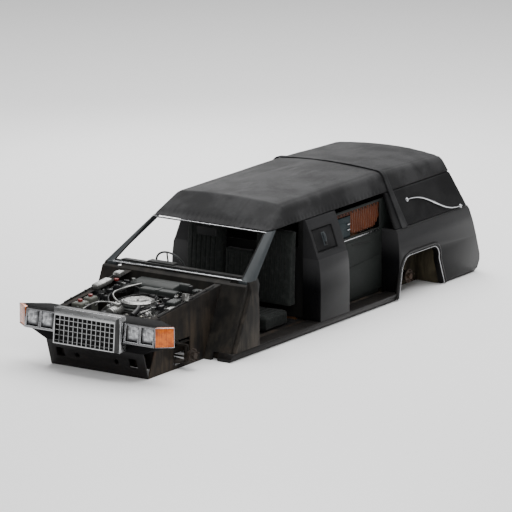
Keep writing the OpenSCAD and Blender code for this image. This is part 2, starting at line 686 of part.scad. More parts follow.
// ---- running gear ----
module studs(x) {
    for (i = [0 : 4]) translate([x, 0, 0]) rotate([90 + i * 72, 0, 0]) translate([0, stud_pcd / 2, 0])
        rotate([0, 90, 0]) cylinder(r = stud_r, h = stud_l, $fn = 24);
}
module hub(depth) {
    rotate([0, 90, 0]) cylinder(r = flange_r, h = 12);
    translate([-depth, 0, 0]) rotate([0, 90, 0]) cylinder(r = 48, h = depth);
    translate([12, 0, 0]) rotate([0, 90, 0]) cylinder(r = 33, h = 26);
    studs(12);
}
module wheel_hub(side, y, depth) {
    color("#4a3c32") translate([side * track_hw, y, hub_z]) mirror([side < 0 ? 1 : 0, 0, 0])
        rotate([0, camber, 0]) translate([-12, 0, 0]) hub(depth);
}
module rear_axle() {
    x1 = track_hw - 12 - 40 - hub_gap;
    shaft_y = engine_y + 1280 + gap;
    shaft_z = 128;
    color("#2a2522") union() {
        translate([-x1, rear_axle_y, hub_z]) rotate([0, 90, 0]) cylinder(r = 38, h = 2 * x1);
        translate([-75, rear_axle_y, hub_z + 6]) rotate([0, 90, 0]) cylinder(r = 118, h = 150);
        translate([0, rear_axle_y - 190, hub_z]) rotate([-90, 0, 0]) cylinder(r1 = 52, r2 = 90, h = 150);
        translate([0, shaft_y, shaft_z]) rotate([-90, 0, 0])
            cylinder(r = 30, h = rear_axle_y - shaft_y - 150);
        both() {
            along_x(spring_x0, spring_x0 + spring_w) polygon([[rear_axle_y - 470, 130],
                [rear_axle_y - 470, 150 - gap], [rear_axle_y - 400, 150 - gap], [rear_axle_y, 205],
                [rear_axle_y + 390, 150 - gap], [rear_axle_y + 460, 150 - gap],
                [rear_axle_y + 460, 130], [rear_axle_y, 184]]);
            translate([x1 - 20, rear_axle_y, hub_z]) rotate([0, 90, 0]) cylinder(r = 60, h = 14);
        }
    }
}
module fuel_tank() {
    y0 = rear_axle_y + 420;
    color("#3b3d3d") union() {
        box([-400, y0, 172], [400, tail_y - 265, 320]);
        box([-400, y0 + 30, 110], [400, tail_y - 265, 173]);
        box([-rail_x0 - 40, y0 + 60, 190 + gap], [rail_x0 + 40, y0 + 90, 260]);
    }
}
module front_suspension() {
    z = front_rail_z - gap;
    color("#2a2522") union() {
        box([-rail_x0 - rail_w, front_axle_y - 60, z - 55], [rail_x0 + rail_w, front_axle_y + 40, z]);
        both() {
            translate([0, 0, 62]) linear_extrude(18) polygon([[440, front_axle_y - 130],
                [470, front_axle_y - 130], [king_x + 20, front_axle_y - 22],
                [king_x + 20, front_axle_y + 22], [470, front_axle_y + 100], [440, front_axle_y + 100]]);
            box([rail_x0, front_axle_y - 40, z + rail_h + 2 * gap], [rail_x0 + rail_w, front_axle_y + 40, 262]);
            translate([0, 0, 246]) linear_extrude(16) polygon([[rail_x0 + 10, front_axle_y - 50],
                [king_x + 18, front_axle_y - 18], [king_x + 18, front_axle_y + 18],
                [rail_x0 + 10, front_axle_y + 50]]);
        }
    }
}
module knuckle(side) {
    color("#33291f") mirror([side < 0 ? 1 : 0, 0, 0]) union() {
        translate([king_x, front_axle_y, 80.5]) cylinder(r = 26, h = 165);
        translate([king_x, front_axle_y, hub_z]) rotate([0, 90, 0])
            cylinder(r = 42, h = track_hw - 51 - hub_gap - king_x);
        box([king_x - 14, front_axle_y, 112], [king_x + 14, steer_tip_y + 14, 130]);
    }
}
module track_rod() {
    z = 96;
    color("#2b2622") union() {
        translate([-king_x, steer_tip_y, z]) rotate([0, 90, 0]) cylinder(r = 11, h = 2 * king_x);
        both() translate([king_x, steer_tip_y, z - 12]) cylinder(r = 14, h = 27.5);
    }
}

place() frame_rails();
place() floor_pan();
place() sills();
place() bulkhead();
place() hinge_pillars();
place() inner_fenders();
place() radiator_support();
place() radiator();
place() nose_panel();
place() grille();
place() headlamps();
place() corner_lamps();
place() front_valance();
place() engine();
place() air_cleaner();
place() battery();
place() heater_box();
place() windscreen_frame();
place() dashboard();
place() steering_column();
place() steering_wheel();
place() rear_view_mirror();
place() bench_cushion();
place() bench_backrest();
place() partition();
place() door_posts();
place() coach_lamps();
place() roof_shell();
place() roof_band();
place() quarter_panels();
place() landau_panels();
place() landau_bars();
place() wheelhouses();
place() side_trims();
place() drapes();
place() load_deck();
place() rear_door();
place() tail_lamps();
place() tail_panel();
place() rear_axle();
place() fuel_tank();
place() front_suspension();
place() track_rod();
place() knuckle(1);  // knuckle_left
place() knuckle(-1);  // knuckle_right
place() wheel_hub(1, front_axle_y, 39);  // front_hub_left
place() wheel_hub(-1, front_axle_y, 39);  // front_hub_right
place() wheel_hub(1, rear_axle_y, 40);  // rear_hub_left
place() wheel_hub(-1, rear_axle_y, 40);  // rear_hub_right
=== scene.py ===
# %% [markdown]
# # A stripped hearse shell
# This file dresses a fixed steel frame with everything a workshop would fit or find on it: paint, padded
# vinyl, chrome, glass, cloth and dirt. The frame is loaded first and never moves, so each piece is placed
# by reading the frame's own boxes. The car's nose points along -Y, its left side along +X, and Z is up.

# %% Load the fixed frame
import json
import math
import random

import bpy
import numpy as np
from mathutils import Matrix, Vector

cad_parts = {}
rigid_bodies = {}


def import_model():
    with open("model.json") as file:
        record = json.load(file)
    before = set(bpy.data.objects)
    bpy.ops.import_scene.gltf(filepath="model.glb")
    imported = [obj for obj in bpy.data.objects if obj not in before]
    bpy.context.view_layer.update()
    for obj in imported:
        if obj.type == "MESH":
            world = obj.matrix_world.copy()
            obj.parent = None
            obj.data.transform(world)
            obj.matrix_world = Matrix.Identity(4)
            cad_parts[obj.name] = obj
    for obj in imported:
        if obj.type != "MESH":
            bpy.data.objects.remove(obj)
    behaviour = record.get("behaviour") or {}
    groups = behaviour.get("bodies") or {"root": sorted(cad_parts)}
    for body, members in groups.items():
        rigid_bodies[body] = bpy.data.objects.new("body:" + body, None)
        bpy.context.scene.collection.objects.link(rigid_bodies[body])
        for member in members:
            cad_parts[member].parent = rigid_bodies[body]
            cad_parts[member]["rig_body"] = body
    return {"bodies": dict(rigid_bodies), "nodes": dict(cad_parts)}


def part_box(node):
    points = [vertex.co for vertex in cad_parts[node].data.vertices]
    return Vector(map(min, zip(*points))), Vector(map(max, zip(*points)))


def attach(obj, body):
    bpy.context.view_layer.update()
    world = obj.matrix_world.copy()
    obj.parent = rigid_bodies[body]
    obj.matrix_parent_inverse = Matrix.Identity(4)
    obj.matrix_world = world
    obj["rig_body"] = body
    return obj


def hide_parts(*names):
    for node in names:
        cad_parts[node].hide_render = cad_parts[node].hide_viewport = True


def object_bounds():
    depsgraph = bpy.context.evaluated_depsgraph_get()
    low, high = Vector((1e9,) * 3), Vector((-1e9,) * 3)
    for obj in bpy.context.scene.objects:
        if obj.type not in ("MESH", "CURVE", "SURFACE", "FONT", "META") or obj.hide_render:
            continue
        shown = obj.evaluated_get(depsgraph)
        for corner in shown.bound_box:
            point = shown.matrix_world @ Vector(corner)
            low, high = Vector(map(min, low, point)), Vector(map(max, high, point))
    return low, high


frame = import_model()
cad_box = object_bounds()
nodes = frame["nodes"]
BODY = max(frame["bodies"], key=lambda b: sum(o.get("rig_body") == b for o in nodes.values()))
print("frame of", len(nodes), "nodes, main body", BODY)

# %% [markdown]
# Places along the car are easier to think of as distances behind the front wheel arch's front edge, which
# is how a panel beater measures. The frame is centred instead, so one small function turns the first into
# the second, and everything stays in metres.

# %% Where things are
MIDDLE = 2.9215


def at(x, y, z):
    """A point of the frame from metres across, behind the nose edge and up."""
    return Vector((x, y - MIDDLE, z))


def size_of(node):
    low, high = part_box(node)
    return [round(v, 3) for v in high - low]


print("roof", size_of("roof_shell"), "grille", size_of("grille"))

# %% [markdown]
# Operators act on whatever is selected, so a careful modeller clears the selection, picks one object, and
# only then calls the operator. These few helpers do that, and apply modifiers so that the finished mesh
# really holds its rounded edges.

# %% Small modelling habits
def only(piece):
    """Select one object and nothing else."""
    if bpy.context.object and bpy.context.object.mode != "OBJECT":
        bpy.ops.object.mode_set(mode="OBJECT")
    bpy.ops.object.select_all(action="DESELECT")
    piece.select_set(True)
    bpy.context.view_layer.objects.active = piece
    return piece


def apply_modifier(piece, kind, **settings):
    """Add one modifier with its settings and apply it to the mesh."""
    only(piece)
    modifier = piece.modifiers.new(kind.title(), kind)
    for key, value in settings.items():
        setattr(modifier, key, value)
    bpy.ops.object.modifier_apply(modifier=modifier.name)
    return piece


def soften(piece, width=0.003, segments=2, angle=35):
    """Round the sharp edges as a real pressing or moulding is rounded, then shade smoothly."""
    if width:
        apply_modifier(piece, "BEVEL", width=width, segments=segments, limit_method="ANGLE",
                       angle_limit=math.radians(angle), use_clamp_overlap=True, harden_normals=False)
    only(piece)
    bpy.ops.object.shade_smooth_by_angle(angle=math.radians(angle))
    return piece


def tidy_mesh(piece, gap=0.00002):
    """Merge doubled points and turn every face outwards."""
    only(piece)
    bpy.ops.object.mode_set(mode="EDIT")
    bpy.ops.mesh.select_all(action="SELECT")
    bpy.ops.mesh.remove_doubles(threshold=gap)
    bpy.ops.mesh.normals_make_consistent(inside=False)
    bpy.ops.object.mode_set(mode="OBJECT")
    return piece


def coordinates(piece):
    points = np.empty(len(piece.data.vertices) * 3, np.float32)
    piece.data.vertices.foreach_get("co", points)
    return points.reshape(-1, 3)


def move_points(piece, points):
    piece.data.vertices.foreach_set("co", np.asarray(points, np.float32).ravel())
    piece.data.update()
    return piece


def point_normals(piece):
    normals = np.empty(len(piece.data.vertices) * 3, np.float32)
    piece.data.vertex_normals.foreach_get("vector", normals)
    return normals.reshape(-1, 3)


# %% Blocks, plates, rods and pipes
def settle(piece, name):
    """Name a piece and put its place into its mesh."""
    piece.name = piece.data.name = name
    only(piece)
    bpy.ops.object.transform_apply(location=True, rotation=True, scale=True)
    return piece


def block(name, low, high, edge=0.004, segments=2, tilt=0.0):
    """A block between two corners with rounded edges; tilt leans it back about X, in degrees."""
    low, high = Vector(low), Vector(high)
    only(next(iter(nodes.values())))
    bpy.ops.object.select_all(action="DESELECT")
    bpy.ops.mesh.primitive_cube_add(size=1, location=(low + high) / 2, scale=high - low,
                                    rotation=(math.radians(tilt), 0, 0))
    piece = settle(bpy.context.object, name)
    return soften(piece, min(edge, min(high - low) * 0.45), segments)


def round_bar(name, start, end, radius, sides=32, edge=0.002, end_radius=None):
    """A straight round bar or cone between two points."""
    start, end = Vector(start), Vector(end)
    along = end - start
    only(next(iter(nodes.values())))
    bpy.ops.object.select_all(action="DESELECT")
    bpy.ops.mesh.primitive_cone_add(vertices=sides, radius1=radius, depth=along.length,
                                    radius2=radius if end_radius is None else end_radius,
                                    location=(start + end) / 2, rotation=along.to_track_quat("Z",
        "Y").to_euler())
    piece = settle(bpy.context.object, name)
    return soften(piece, min(edge, radius * 0.3), 2)


def plate(name, outline, push, edge=0.003, segments=2):
    """A flat plate: a filled circle whose points are moved to the outline, then extruded by push."""
    only(next(iter(nodes.values())))
    bpy.ops.object.select_all(action="DESELECT")
    bpy.ops.mesh.primitive_circle_add(vertices=len(outline), fill_type="NGON")
    piece = bpy.context.object
    move_points(piece, outline)
    bpy.ops.object.mode_set(mode="EDIT")
    bpy.ops.mesh.select_all(action="SELECT")
    bpy.ops.mesh.extrude_region_move(TRANSFORM_OT_translate={"value": tuple(push)})
    bpy.ops.mesh.select_all(action="SELECT")
    bpy.ops.mesh.normals_make_consistent(inside=False)
    bpy.ops.object.mode_set(mode="OBJECT")
    return soften(settle(piece, name), edge, segments)


def pipe(name, points, radius, sides=12, radii=None, smooth=True, closed=False):
    """A pipe, moulding or cable along a line of points, made from a path and then turned into a mesh."""
    only(next(iter(nodes.values())))
    bpy.ops.object.select_all(action="DESELECT")
    bpy.ops.curve.primitive_nurbs_path_add()
    path = bpy.context.object
    path.data.splines.clear()
    spline = path.data.splines.new("NURBS" if smooth else "POLY")
    spline.points.add(len(points) - 1)
    for i, point in enumerate(points):
        spline.points[i].co = (*point, 1)
        spline.points[i].radius = radii[i] if radii else 1
    spline.use_cyclic_u = closed
    spline.use_endpoint_u, spline.order_u = True, 3
    spline.resolution_u = 4
    path.data.bevel_depth, path.data.bevel_resolution = radius, max(1, sides // 4 - 1)
    path.data.use_fill_caps = not closed
    only(path)
    bpy.ops.object.convert(target="MESH")
    piece = settle(bpy.context.object, name)
    return soften(tidy_mesh(piece), 0, angle=50)


def lathe(name, outline, centre, steps=48):
    """Spin a half outline of (radius, height) pairs round the vertical through centre."""
    only(next(iter(nodes.values())))
    bpy.ops.object.select_all(action="DESELECT")
    bpy.ops.mesh.primitive_circle_add(vertices=len(outline), fill_type="NOTHING")
    piece = bpy.context.object
    move_points(piece, [(r, 0, z) for r, z in outline])
    bpy.ops.object.mode_set(mode="EDIT")
    bpy.ops.mesh.select_all(action="SELECT")
    bpy.ops.mesh.spin(steps=steps, angle=2 * math.pi, center=(0, 0, 0), axis=(0, 0, 1), use_auto_merge=True)
    bpy.ops.mesh.select_all(action="SELECT")
    bpy.ops.mesh.remove_doubles(threshold=0.0001)
    bpy.ops.mesh.normals_make_consistent(inside=False)
    bpy.ops.object.mode_set(mode="OBJECT")
    piece.location = centre
    return soften(settle(piece, name), 0, angle=40)


def copies(piece, offsets, name):
    """Copies of a modelled piece, each with its own mesh, moved by offsets and joined under one name."""
    made = []
    for offset in offsets:
        twin = piece.copy()
        twin.data = piece.data.copy()
        bpy.context.scene.collection.objects.link(twin)
        move_points(twin, coordinates(twin) + np.array(offset, np.float32))
        made.append(twin)
    return join([piece, *made], name)


def join(pieces, name):
    """Several meshes as one piece."""
    only(pieces[0])
    for other in pieces[1:]:
        other.select_set(True)
    if len(pieces) > 1:
        bpy.ops.object.join()
    piece = bpy.context.object
    piece.name = piece.data.name = name
    return piece


def mirrored(piece, name):
    """The same piece on the car's other side."""
    twin = piece.copy()
    twin.data = piece.data.copy()
    bpy.context.scene.collection.objects.link(twin)
    move_points(twin, coordinates(twin) * np.array([-1, 1, 1], np.float32))
    twin.name = twin.data.name = name
    return tidy_mesh(twin)


def both_sides(piece, name):
    """One piece and its mirror image, joined under one name."""
    return join([piece, mirrored(piece, name + "_twin")], name)


# %% [markdown]
# Where the frame's shape is already right, the visible piece starts as a copy of it: the loose triangles
# are merged, flat areas become single faces again, and the edges are rounded. The frame's own node is
# then hidden, and stays in the simulation for contact only.

# %% Copies of the frame with finished edges
def finished_copy(node, name, width=0.004, segments=2, angle=35):
    piece = bpy.data.objects.new(name, nodes[node].data.copy())
    piece.data.name = name
    bpy.context.scene.collection.objects.link(piece)
    piece.data.materials.clear()
    only(piece)
    bpy.ops.object.mode_set(mode="EDIT")
    bpy.ops.mesh.select_all(action="SELECT")
    bpy.ops.mesh.remove_doubles(threshold=0.00002)
    bpy.ops.mesh.dissolve_limited(angle_limit=math.radians(0.5))
    bpy.ops.object.mode_set(mode="OBJECT")
    return soften(piece, width, segments, angle)


def soft_copy(node, name, voxel):
    """A copy with an even, rounded skin, for what is padded."""
    piece = finished_copy(node, name, 0)
    apply_modifier(piece, "REMESH", mode="VOXEL", voxel_size=voxel)
    apply_modifier(piece, "SMOOTH", factor=0.5, iterations=3)
    only(piece)
    bpy.ops.object.shade_smooth()
    return piece


def fit(piece, finish, body=BODY, instead_of=()):
    """Give a piece its finish, the body it rides on and the nodes it stands for."""
    piece.data.materials.clear()
    piece.data.materials.append(finish)
    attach(piece, body)
    if instead_of:
        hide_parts(*([instead_of] if isinstance(instead_of, str) else instead_of))
    return piece


# %% [markdown]
# A finish is a small network of nodes. To keep the arithmetic readable, a wire between nodes is wrapped in
# a class that understands plus, minus, times and the like, so a mask can be written as an expression. One
# method adds every other node: its settings go in first, then its inputs.

# %% Wires and finishes
class Wire:
    """A number that varies over a surface."""

    def __init__(self, finish, socket):
        self.finish, self.socket = finish, socket

    def maths(self, operation, *others, clamp=False):
        inputs = {i: value for i, value in enumerate((self, *others))}
        return self.finish.node("ShaderNodeMath", {"operation": operation, "use_clamp": clamp}, inputs)

    def __add__(self, other): return self.maths("ADD", other)
    def __sub__(self, other): return self.maths("SUBTRACT", other)
    def __mul__(self, other): return self.maths("MULTIPLY", other)
    def __radd__(self, other): return self.maths("ADD", other)
    def __rmul__(self, other): return self.maths("MULTIPLY", other)
    def __rsub__(self, other): return (self * -1).maths("ADD", other)

    def limited(self): return self.maths("ADD", 0.0, clamp=True)

    def between(self, low, high):
        """0 below low, 1 above high and smooth in the middle."""
        return self.finish.node("ShaderNodeMapRange", {"interpolation_type": "SMOOTHSTEP"},
                                {"Value": self, "From Min": low, "From Max": high})


class Finish:
    """One material: constants on its shader, and what varies wired in."""

    def __init__(self, name, **constants):
        self.material = bpy.data.materials.new(name)
        self.material.use_nodes = True
        self.tree = self.material.node_tree
        self.shader = self.tree.nodes["Principled BSDF"]
        for key, value in constants.items():
            self.shader.inputs[key.replace("_", " ")].default_value = value
        self.place = self.node("ShaderNodeTexCoord", out="Object")

    def node(self, kind, settings=None, inputs=None, out=0):
        made = self.tree.nodes.new(kind)
        for key, value in (settings or {}).items():
            if key == "stops":
                ramp = made.color_ramp.elements
                while len(ramp) < len(value):
                    ramp.new(0.5)
                for stop, (position, colour) in zip(ramp, value):
                    stop.position, stop.color = position, (*colour, 1)
            else:
                setattr(made, key, value)
        for key, value in (inputs or {}).items():
            self.feed(made.inputs[key], value)
        return Wire(self, made.outputs[out])

    def feed(self, socket, value):
        if isinstance(value, Wire):
            self.tree.links.new(value.socket, socket)
        elif isinstance(value, (tuple, list)) and len(value) == 3 and len(socket.default_value) == 4:
            socket.default_value = (*value, 1)
        else:
            socket.default_value = value

    def stretched(self, scale=(1, 1, 1), turn=(0, 0, 0)):
        """The surface's own place, stretched for a pattern with a grain."""
        return self.node("ShaderNodeMapping", {}, {"Vector": self.place, "Scale": scale, "Rotation": turn})

    def noise(self, scale, detail=4, roughness=0.55, stretch=(1, 1, 1)):
        return self.node("ShaderNodeTexNoise", {}, {"Vector": self.stretched(stretch), "Scale": scale,
                                                    "Detail": detail, "Roughness": roughness})

    def cells(self, scale, feature="F1", stretch=(1, 1, 1)):
        return self.node("ShaderNodeTexVoronoi", {"feature": feature},
                         {"Vector": self.stretched(stretch), "Scale": scale})

    def bands(self, scale, axis="X", turn=(0, 0, 0), wobble=0.0):
        return self.node("ShaderNodeTexWave", {"bands_direction": axis},
                         {"Vector": self.stretched(turn=turn), "Scale": scale, "Distortion": wobble})

    def axis(self, name):
        return self.node("ShaderNodeSeparateXYZ", {}, {0: self.place}, out=name)

    def facing(self, name="Z"):
        """How far the surface faces along an axis, from -1 to 1."""
        normal = self.node("ShaderNodeNewGeometry", out="Normal")
        return self.node("ShaderNodeSeparateXYZ", {}, {0: normal}, out=name)

    def mix(self, first, second, factor):
        """One colour over another."""
        return self.node("ShaderNodeMix", {"data_type": "RGBA"}, {0: factor, 6: first, 7: second}, out=2)

    def set(self, **wires):
        for key, value in wires.items():
            self.feed(self.shader.inputs[key.replace("_", " ")], value)
        return self

    def bump(self, height, depth=0.001, strength=1.0):
        normal = self.node("ShaderNodeBump", {},
                           {"Height": height, "Distance": depth, "Strength": strength})
        return self.set(Normal=normal)


# %% [markdown]
# Coach paint that has stood outdoors is still glossy where rain runs off it, dull where dust settles, and
# brown near the ground where the wheels throw mud. So one recipe mixes a base colour with dust on the
# faces that look up, road dirt that fades out with height, and fine mottling in the gloss.

# %% Painted metal
DUST = (0.06, 0.057, 0.052)
MUD = (0.04, 0.029, 0.02)


def painted(name, colour, gloss=0.3, dust=0.3, mud=0.22, mud_top=0.4, coat=0.06, shine=0.13, paler_share=0.0,
            vinyl_above=None):
    """Coach paint, with an optional painted grey highlight band under the belt; vinyl_above covers what
    stands higher.
    """
    finish = Finish(name, Coat_Roughness=0.15, Specular_IOR_Level=shine)
    blotches = finish.noise(3.1, 6, 0.62)
    fine = finish.noise(46, 5, 0.6)
    settled = (finish.facing("Z").between(0.15, 0.95) * blotches.between(0.25, 0.8) * dust).limited()
    height = finish.axis("Z") + (blotches - 0.5) * 0.34
    splashed = ((1 - height.between(0.0, mud_top)) * fine.between(0.3, 0.75) * mud).limited()
    base = finish.mix(colour, tuple(c * 1.5 + 0.003 for c in colour), blotches.between(0.45, 0.8) * 0.45)
    # Painted highlight: the side is greyed from 0.42 m up, fully from 0.74 m, for the sky's reflection under
    # the belt.
    if paler_share:
        paler = finish.axis("Z").between(0.42, 0.74) * (blotches * 0.5 + 0.6) * paler_share
        base = finish.mix(base, (0.033, 0.033, 0.034), paler.limited())
    dusty = finish.mix(base, DUST, settled * 0.8)
    covered = finish.axis("Z").between(vinyl_above,
                                       vinyl_above + 0.006) if vinyl_above else finish.axis("Z") * 0
    top = finish.mix((0.011, 0.011, 0.012), (0.026, 0.026, 0.027), blotches)
    finish.set(Base_Color=finish.mix(finish.mix(dusty, MUD, splashed), top, covered),
               Roughness=(gloss + settled * 0.35 + splashed * 0.45 + (fine - 0.5) * 0.08
                          + covered * 0.25).limited(),
               Coat_Weight=(coat - settled * 0.6 - splashed * 0.8 - covered).limited())
    return finish.bump(fine * (0.15 + covered * 0.6) + splashed * 0.6, 0.0006).material


gloss_black = painted("coach_black", (0.0045, 0.0045, 0.005))
nose_black = painted("nose_black", (0.0045, 0.0045, 0.005), gloss=0.65, dust=0.08, coat=0.0, shine=0.04)
# The sides and the door posts carry the painted highlight band under the belt.
side_black = painted("side_black", (0.0035, 0.0035, 0.004), mud=0.08, shine=0.1, paler_share=0.95)
post_black = painted("post_black", (0.0035, 0.0035, 0.004), mud=0.08, shine=0.1, paler_share=0.95,
                     vinyl_above=0.768)
satin_black = painted("chassis_black", (0.008, 0.008, 0.008), gloss=0.5, coat=0.05, mud=0.3)
pillar_grey = painted("worn_pillar_grey", (0.03, 0.035, 0.038), gloss=0.5, dust=0.2, mud=0, coat=0.1)
print("paints:", [m.name for m in (gloss_black, side_black, post_black, satin_black, pillar_grey)])

# %% [markdown]
# The wheel wells and the floor were never glossy: undercoat, dried mud and rust sit on them in streaks that
# run down the panel. A stretched noise gives the runs, a rounder one gives the patches, and rust shows only
# where both are strong. The same recipe, with other colours, makes the bulkhead and the chassis.

# %% Dirty and rusty steel
def grimy(name, base, dirt, rust=(0.13, 0.045, 0.015), rust_share=0.35, rough=0.72, metal=0.0,
          dirt_top=0.9):
    finish = Finish(name, Specular_IOR_Level=0.15)
    runs = finish.noise(5.5, 5, 0.62, stretch=(1.6, 1.6, 0.35))
    patches = finish.noise(3.4, 7, 0.66)
    grain = finish.noise(85, 4, 0.6)
    height = (1 - finish.axis("Z").between(0.0, dirt_top)) * 0.55 + 0.45
    dirty = (runs.between(0.36, 0.66) * height + patches.between(0.55, 0.8) * 0.4).limited()
    rusty = (patches.between(0.56, 0.74) * grain.between(0.3, 0.7) * rust_share).limited()
    black = finish.noise(2.3, 3, 0.5, stretch=(1, 1, 1.3)).between(0.52, 0.64) * 0.85
    colour = finish.mix(finish.mix(base, dirt, dirty), tuple(c * 0.25 for c in base), black * 0.7)
    finish.set(Base_Color=finish.mix(colour, rust, rusty),
               Roughness=(rough + (grain - 0.5) * 0.2 + rusty * 0.15).limited(),
               Metallic=((1 - rusty - dirty) * metal).limited())
    return finish.bump(grain * 0.5 + patches * 0.8 + rusty, 0.0012).material


RUST = (0.07, 0.026, 0.01)
well_dirt = grimy("wheel_well_dirt", (0.009, 0.008, 0.0075), (0.04, 0.03, 0.021), RUST)
bulkhead_dirt = grimy("bulkhead_dirt", (0.009, 0.0085, 0.008), (0.028, 0.024, 0.019), RUST, 0.15)
pillar_dirt = grimy("hinge_pillar_dirt", (0.014, 0.013, 0.012), (0.046, 0.039, 0.032), RUST, 0.2,
                    dirt_top=1.6)
olive_dirt = grimy("rear_well_dirt", (0.018, 0.015, 0.010), (0.062, 0.051, 0.031), RUST, dirt_top=1.2)
chassis_rust = grimy("chassis_rust", (0.011, 0.01, 0.009), (0.03, 0.022, 0.016), RUST, 0.5)
iron = grimy("rusty_forging", (0.02, 0.018, 0.016), (0.035, 0.025, 0.018), RUST, 0.7, rough=0.6, metal=0.5)
hub_rust = grimy("rusty_hub", (0.06, 0.048, 0.04), (0.05, 0.032, 0.022), (0.12, 0.045, 0.018), 0.7, 0.55,
                 0.7)
tank_steel = grimy("dirty_tank", (0.045, 0.045, 0.043), (0.03, 0.026, 0.022), RUST, 0.35, rough=0.5,
                   metal=0.6)

# %% [markdown]
# Castings, bare alloy and bright plate differ in how rough and how stained they are. Oil leaves dark pools
# in the low spots of a casting; old plate stays bright but goes cloudy and picks up pits.

# %% Metals of the engine and the trim
def cast_metal(name, colour, rough=0.5, oil=0.6, metallic=0.85, grain_scale=130):
    finish = Finish(name)
    sand = finish.noise(grain_scale, 4, 0.6)
    stain = finish.noise(9, 6, 0.65)
    oily = (stain.between(0.38, 0.62) * oil).limited()
    finish.set(Base_Color=finish.mix(finish.mix(colour, tuple(c * 1.6 for c in colour), sand),
                                     (0.008, 0.007, 0.006), oily),
               Roughness=(rough + (sand - 0.5) * 0.25 - oily * 0.2).limited(),
               Metallic=((1 - oily) * metallic).limited())
    return finish.bump(sand, 0.0008).material


engine_iron = cast_metal("oily_cast_iron", (0.05, 0.05, 0.048), 0.55, 0.8)
bare_alloy = cast_metal("bare_alloy", (0.24, 0.24, 0.23), 0.34, 0.8)
dull_alloy = cast_metal("dull_alloy", (0.14, 0.145, 0.14), 0.45, 0.85)
zinc = cast_metal("zinc_plate", (0.24, 0.23, 0.2), 0.35, 0.5)


def plated(name, colour=(0.62, 0.63, 0.65), cloud=0.28, dirt=0.35):
    finish = Finish(name)
    haze = finish.noise(14, 6, 0.6)
    pits = finish.noise(210, 2, 0.5).between(0.66, 0.74)
    grime = (finish.noise(6, 5, 0.65).between(0.5, 0.8) * dirt + pits * 0.4).limited()
    finish.set(Base_Color=finish.mix(colour, (0.12, 0.11, 0.1), grime), Metallic=(1 - grime * 0.7),
               Roughness=(0.1 + haze.between(0.35, 0.8) * cloud + grime * 0.3).limited())
    return finish.bump(pits * -1 + haze * 0.15, 0.0003).material


def bezel_plate(name):
    """Silver on what faces forward; the other faces are black, as painted shade on the tops and in the
    wells.
    """
    finish = Finish(name, Specular_IOR_Level=0.04)
    haze, grime = finish.noise(14, 6, 0.6), finish.noise(7, 5, 0.6).between(0.45, 0.8) * 0.4
    # Painted shade: faces that look up, and faces that do not look forward, are black.
    shaded_top = finish.facing("Z").between(0.3, 0.5)
    black = (1 - (finish.facing("Y") * -1).between(0.55, 0.8) + grime * 0.5 + shaded_top).limited()
    finish.set(Base_Color=finish.mix((0.33, 0.33, 0.34), (0.006, 0.006, 0.006), black),
               Metallic=(1 - black) * 0.9,
               Roughness=(0.22 + haze.between(0.35, 0.8) * 0.3 + black * 0.5).limited())
    return finish.bump(haze, 0.0002).material


chrome = plated("old_chrome")
bezel_silver = bezel_plate("bezel_silver")
silver_trim = plated("silver_trim", (0.36, 0.36, 0.37), 0.42, 0.45)

# %% [markdown]
# Lamp glass is moulded with prisms. No bowl is modelled behind the glass: the headlamp glass has a painted
# reflection of a bright bowl, silver and faceted and darker along two edges, and the amber and red lenses
# have a painted glow, lighter in clouds and along their ribs as if lit from within. The flutes are real
# ridges in the mesh, and the finish adds the fine ribs.

# %% Lamp glass
def lens(name, colour, deep, rib_scale=95, metallic=0.0, rough=0.2, bowl_reflection=False):
    finish = Finish(name, Coat_Roughness=0.1, Coat_Weight=0.25, IOR=1.45, Specular_IOR_Level=0.3)
    ribs = finish.bands(rib_scale, "X")
    cloud = finish.noise(16, 5, 0.6)
    dirt = finish.noise(6, 5, 0.6).between(0.5, 0.85) * 0.5
    # Painted glow: the lens colour is lighter in clouds and along its ribs.
    lit = (cloud.between(0.3, 0.7) * 0.75 + ribs * 0.3).limited()
    if bowl_reflection:
        # Painted reflection of a bright bowl: darker along two edges of the glass, with a glint on each
        # facet.
        uv = finish.node("ShaderNodeTexCoord", out="UV")
        across = finish.node("ShaderNodeSeparateXYZ", {}, {0: uv}, out="X")
        up = finish.node("ShaderNodeSeparateXYZ", {}, {0: uv}, out="Y")
        facets = finish.node("ShaderNodeTexVoronoi", {"distance": "CHEBYCHEV"},
                             {"Vector": uv, "Scale": 5.0}, out="Color")
        facet_glint = finish.node("ShaderNodeSeparateXYZ", {}, {0: facets}, out="X")
        lit = (across.between(0.02, 0.3) * up.between(0.03,
                                                      0.4) * (facet_glint * 0.75 + 0.3) * (lit * 0.4
                                                                                     + 0.7)).limited()
    base = finish.mix(deep, colour, lit)
    finish.set(Base_Color=finish.mix(base, (0.06, 0.05, 0.04), dirt),
               Roughness=(rough + dirt * 0.5).limited(),
               Metallic=(1 - dirt) * metallic)
    return finish.bump(ribs, 0.0006, 0.7).material


headlamp_glass = lens("fluted_headlamp_glass", (0.66, 0.67, 0.69), (0.025, 0.026, 0.028), 60, 0.5, 0.14,
                      bowl_reflection=True)
amber_glass = lens("amber_lens", (0.66, 0.15, 0.006), (0.24, 0.032, 0.0015), 22)
red_glass = lens("red_lens", (0.3, 0.006, 0.005), (0.07, 0.002, 0.002), 80)

# %% [markdown]
# Rubber, hose and moulded plastic are matt with a fine grain, and grey where they have been handled or have
# faded. One small recipe covers them all.

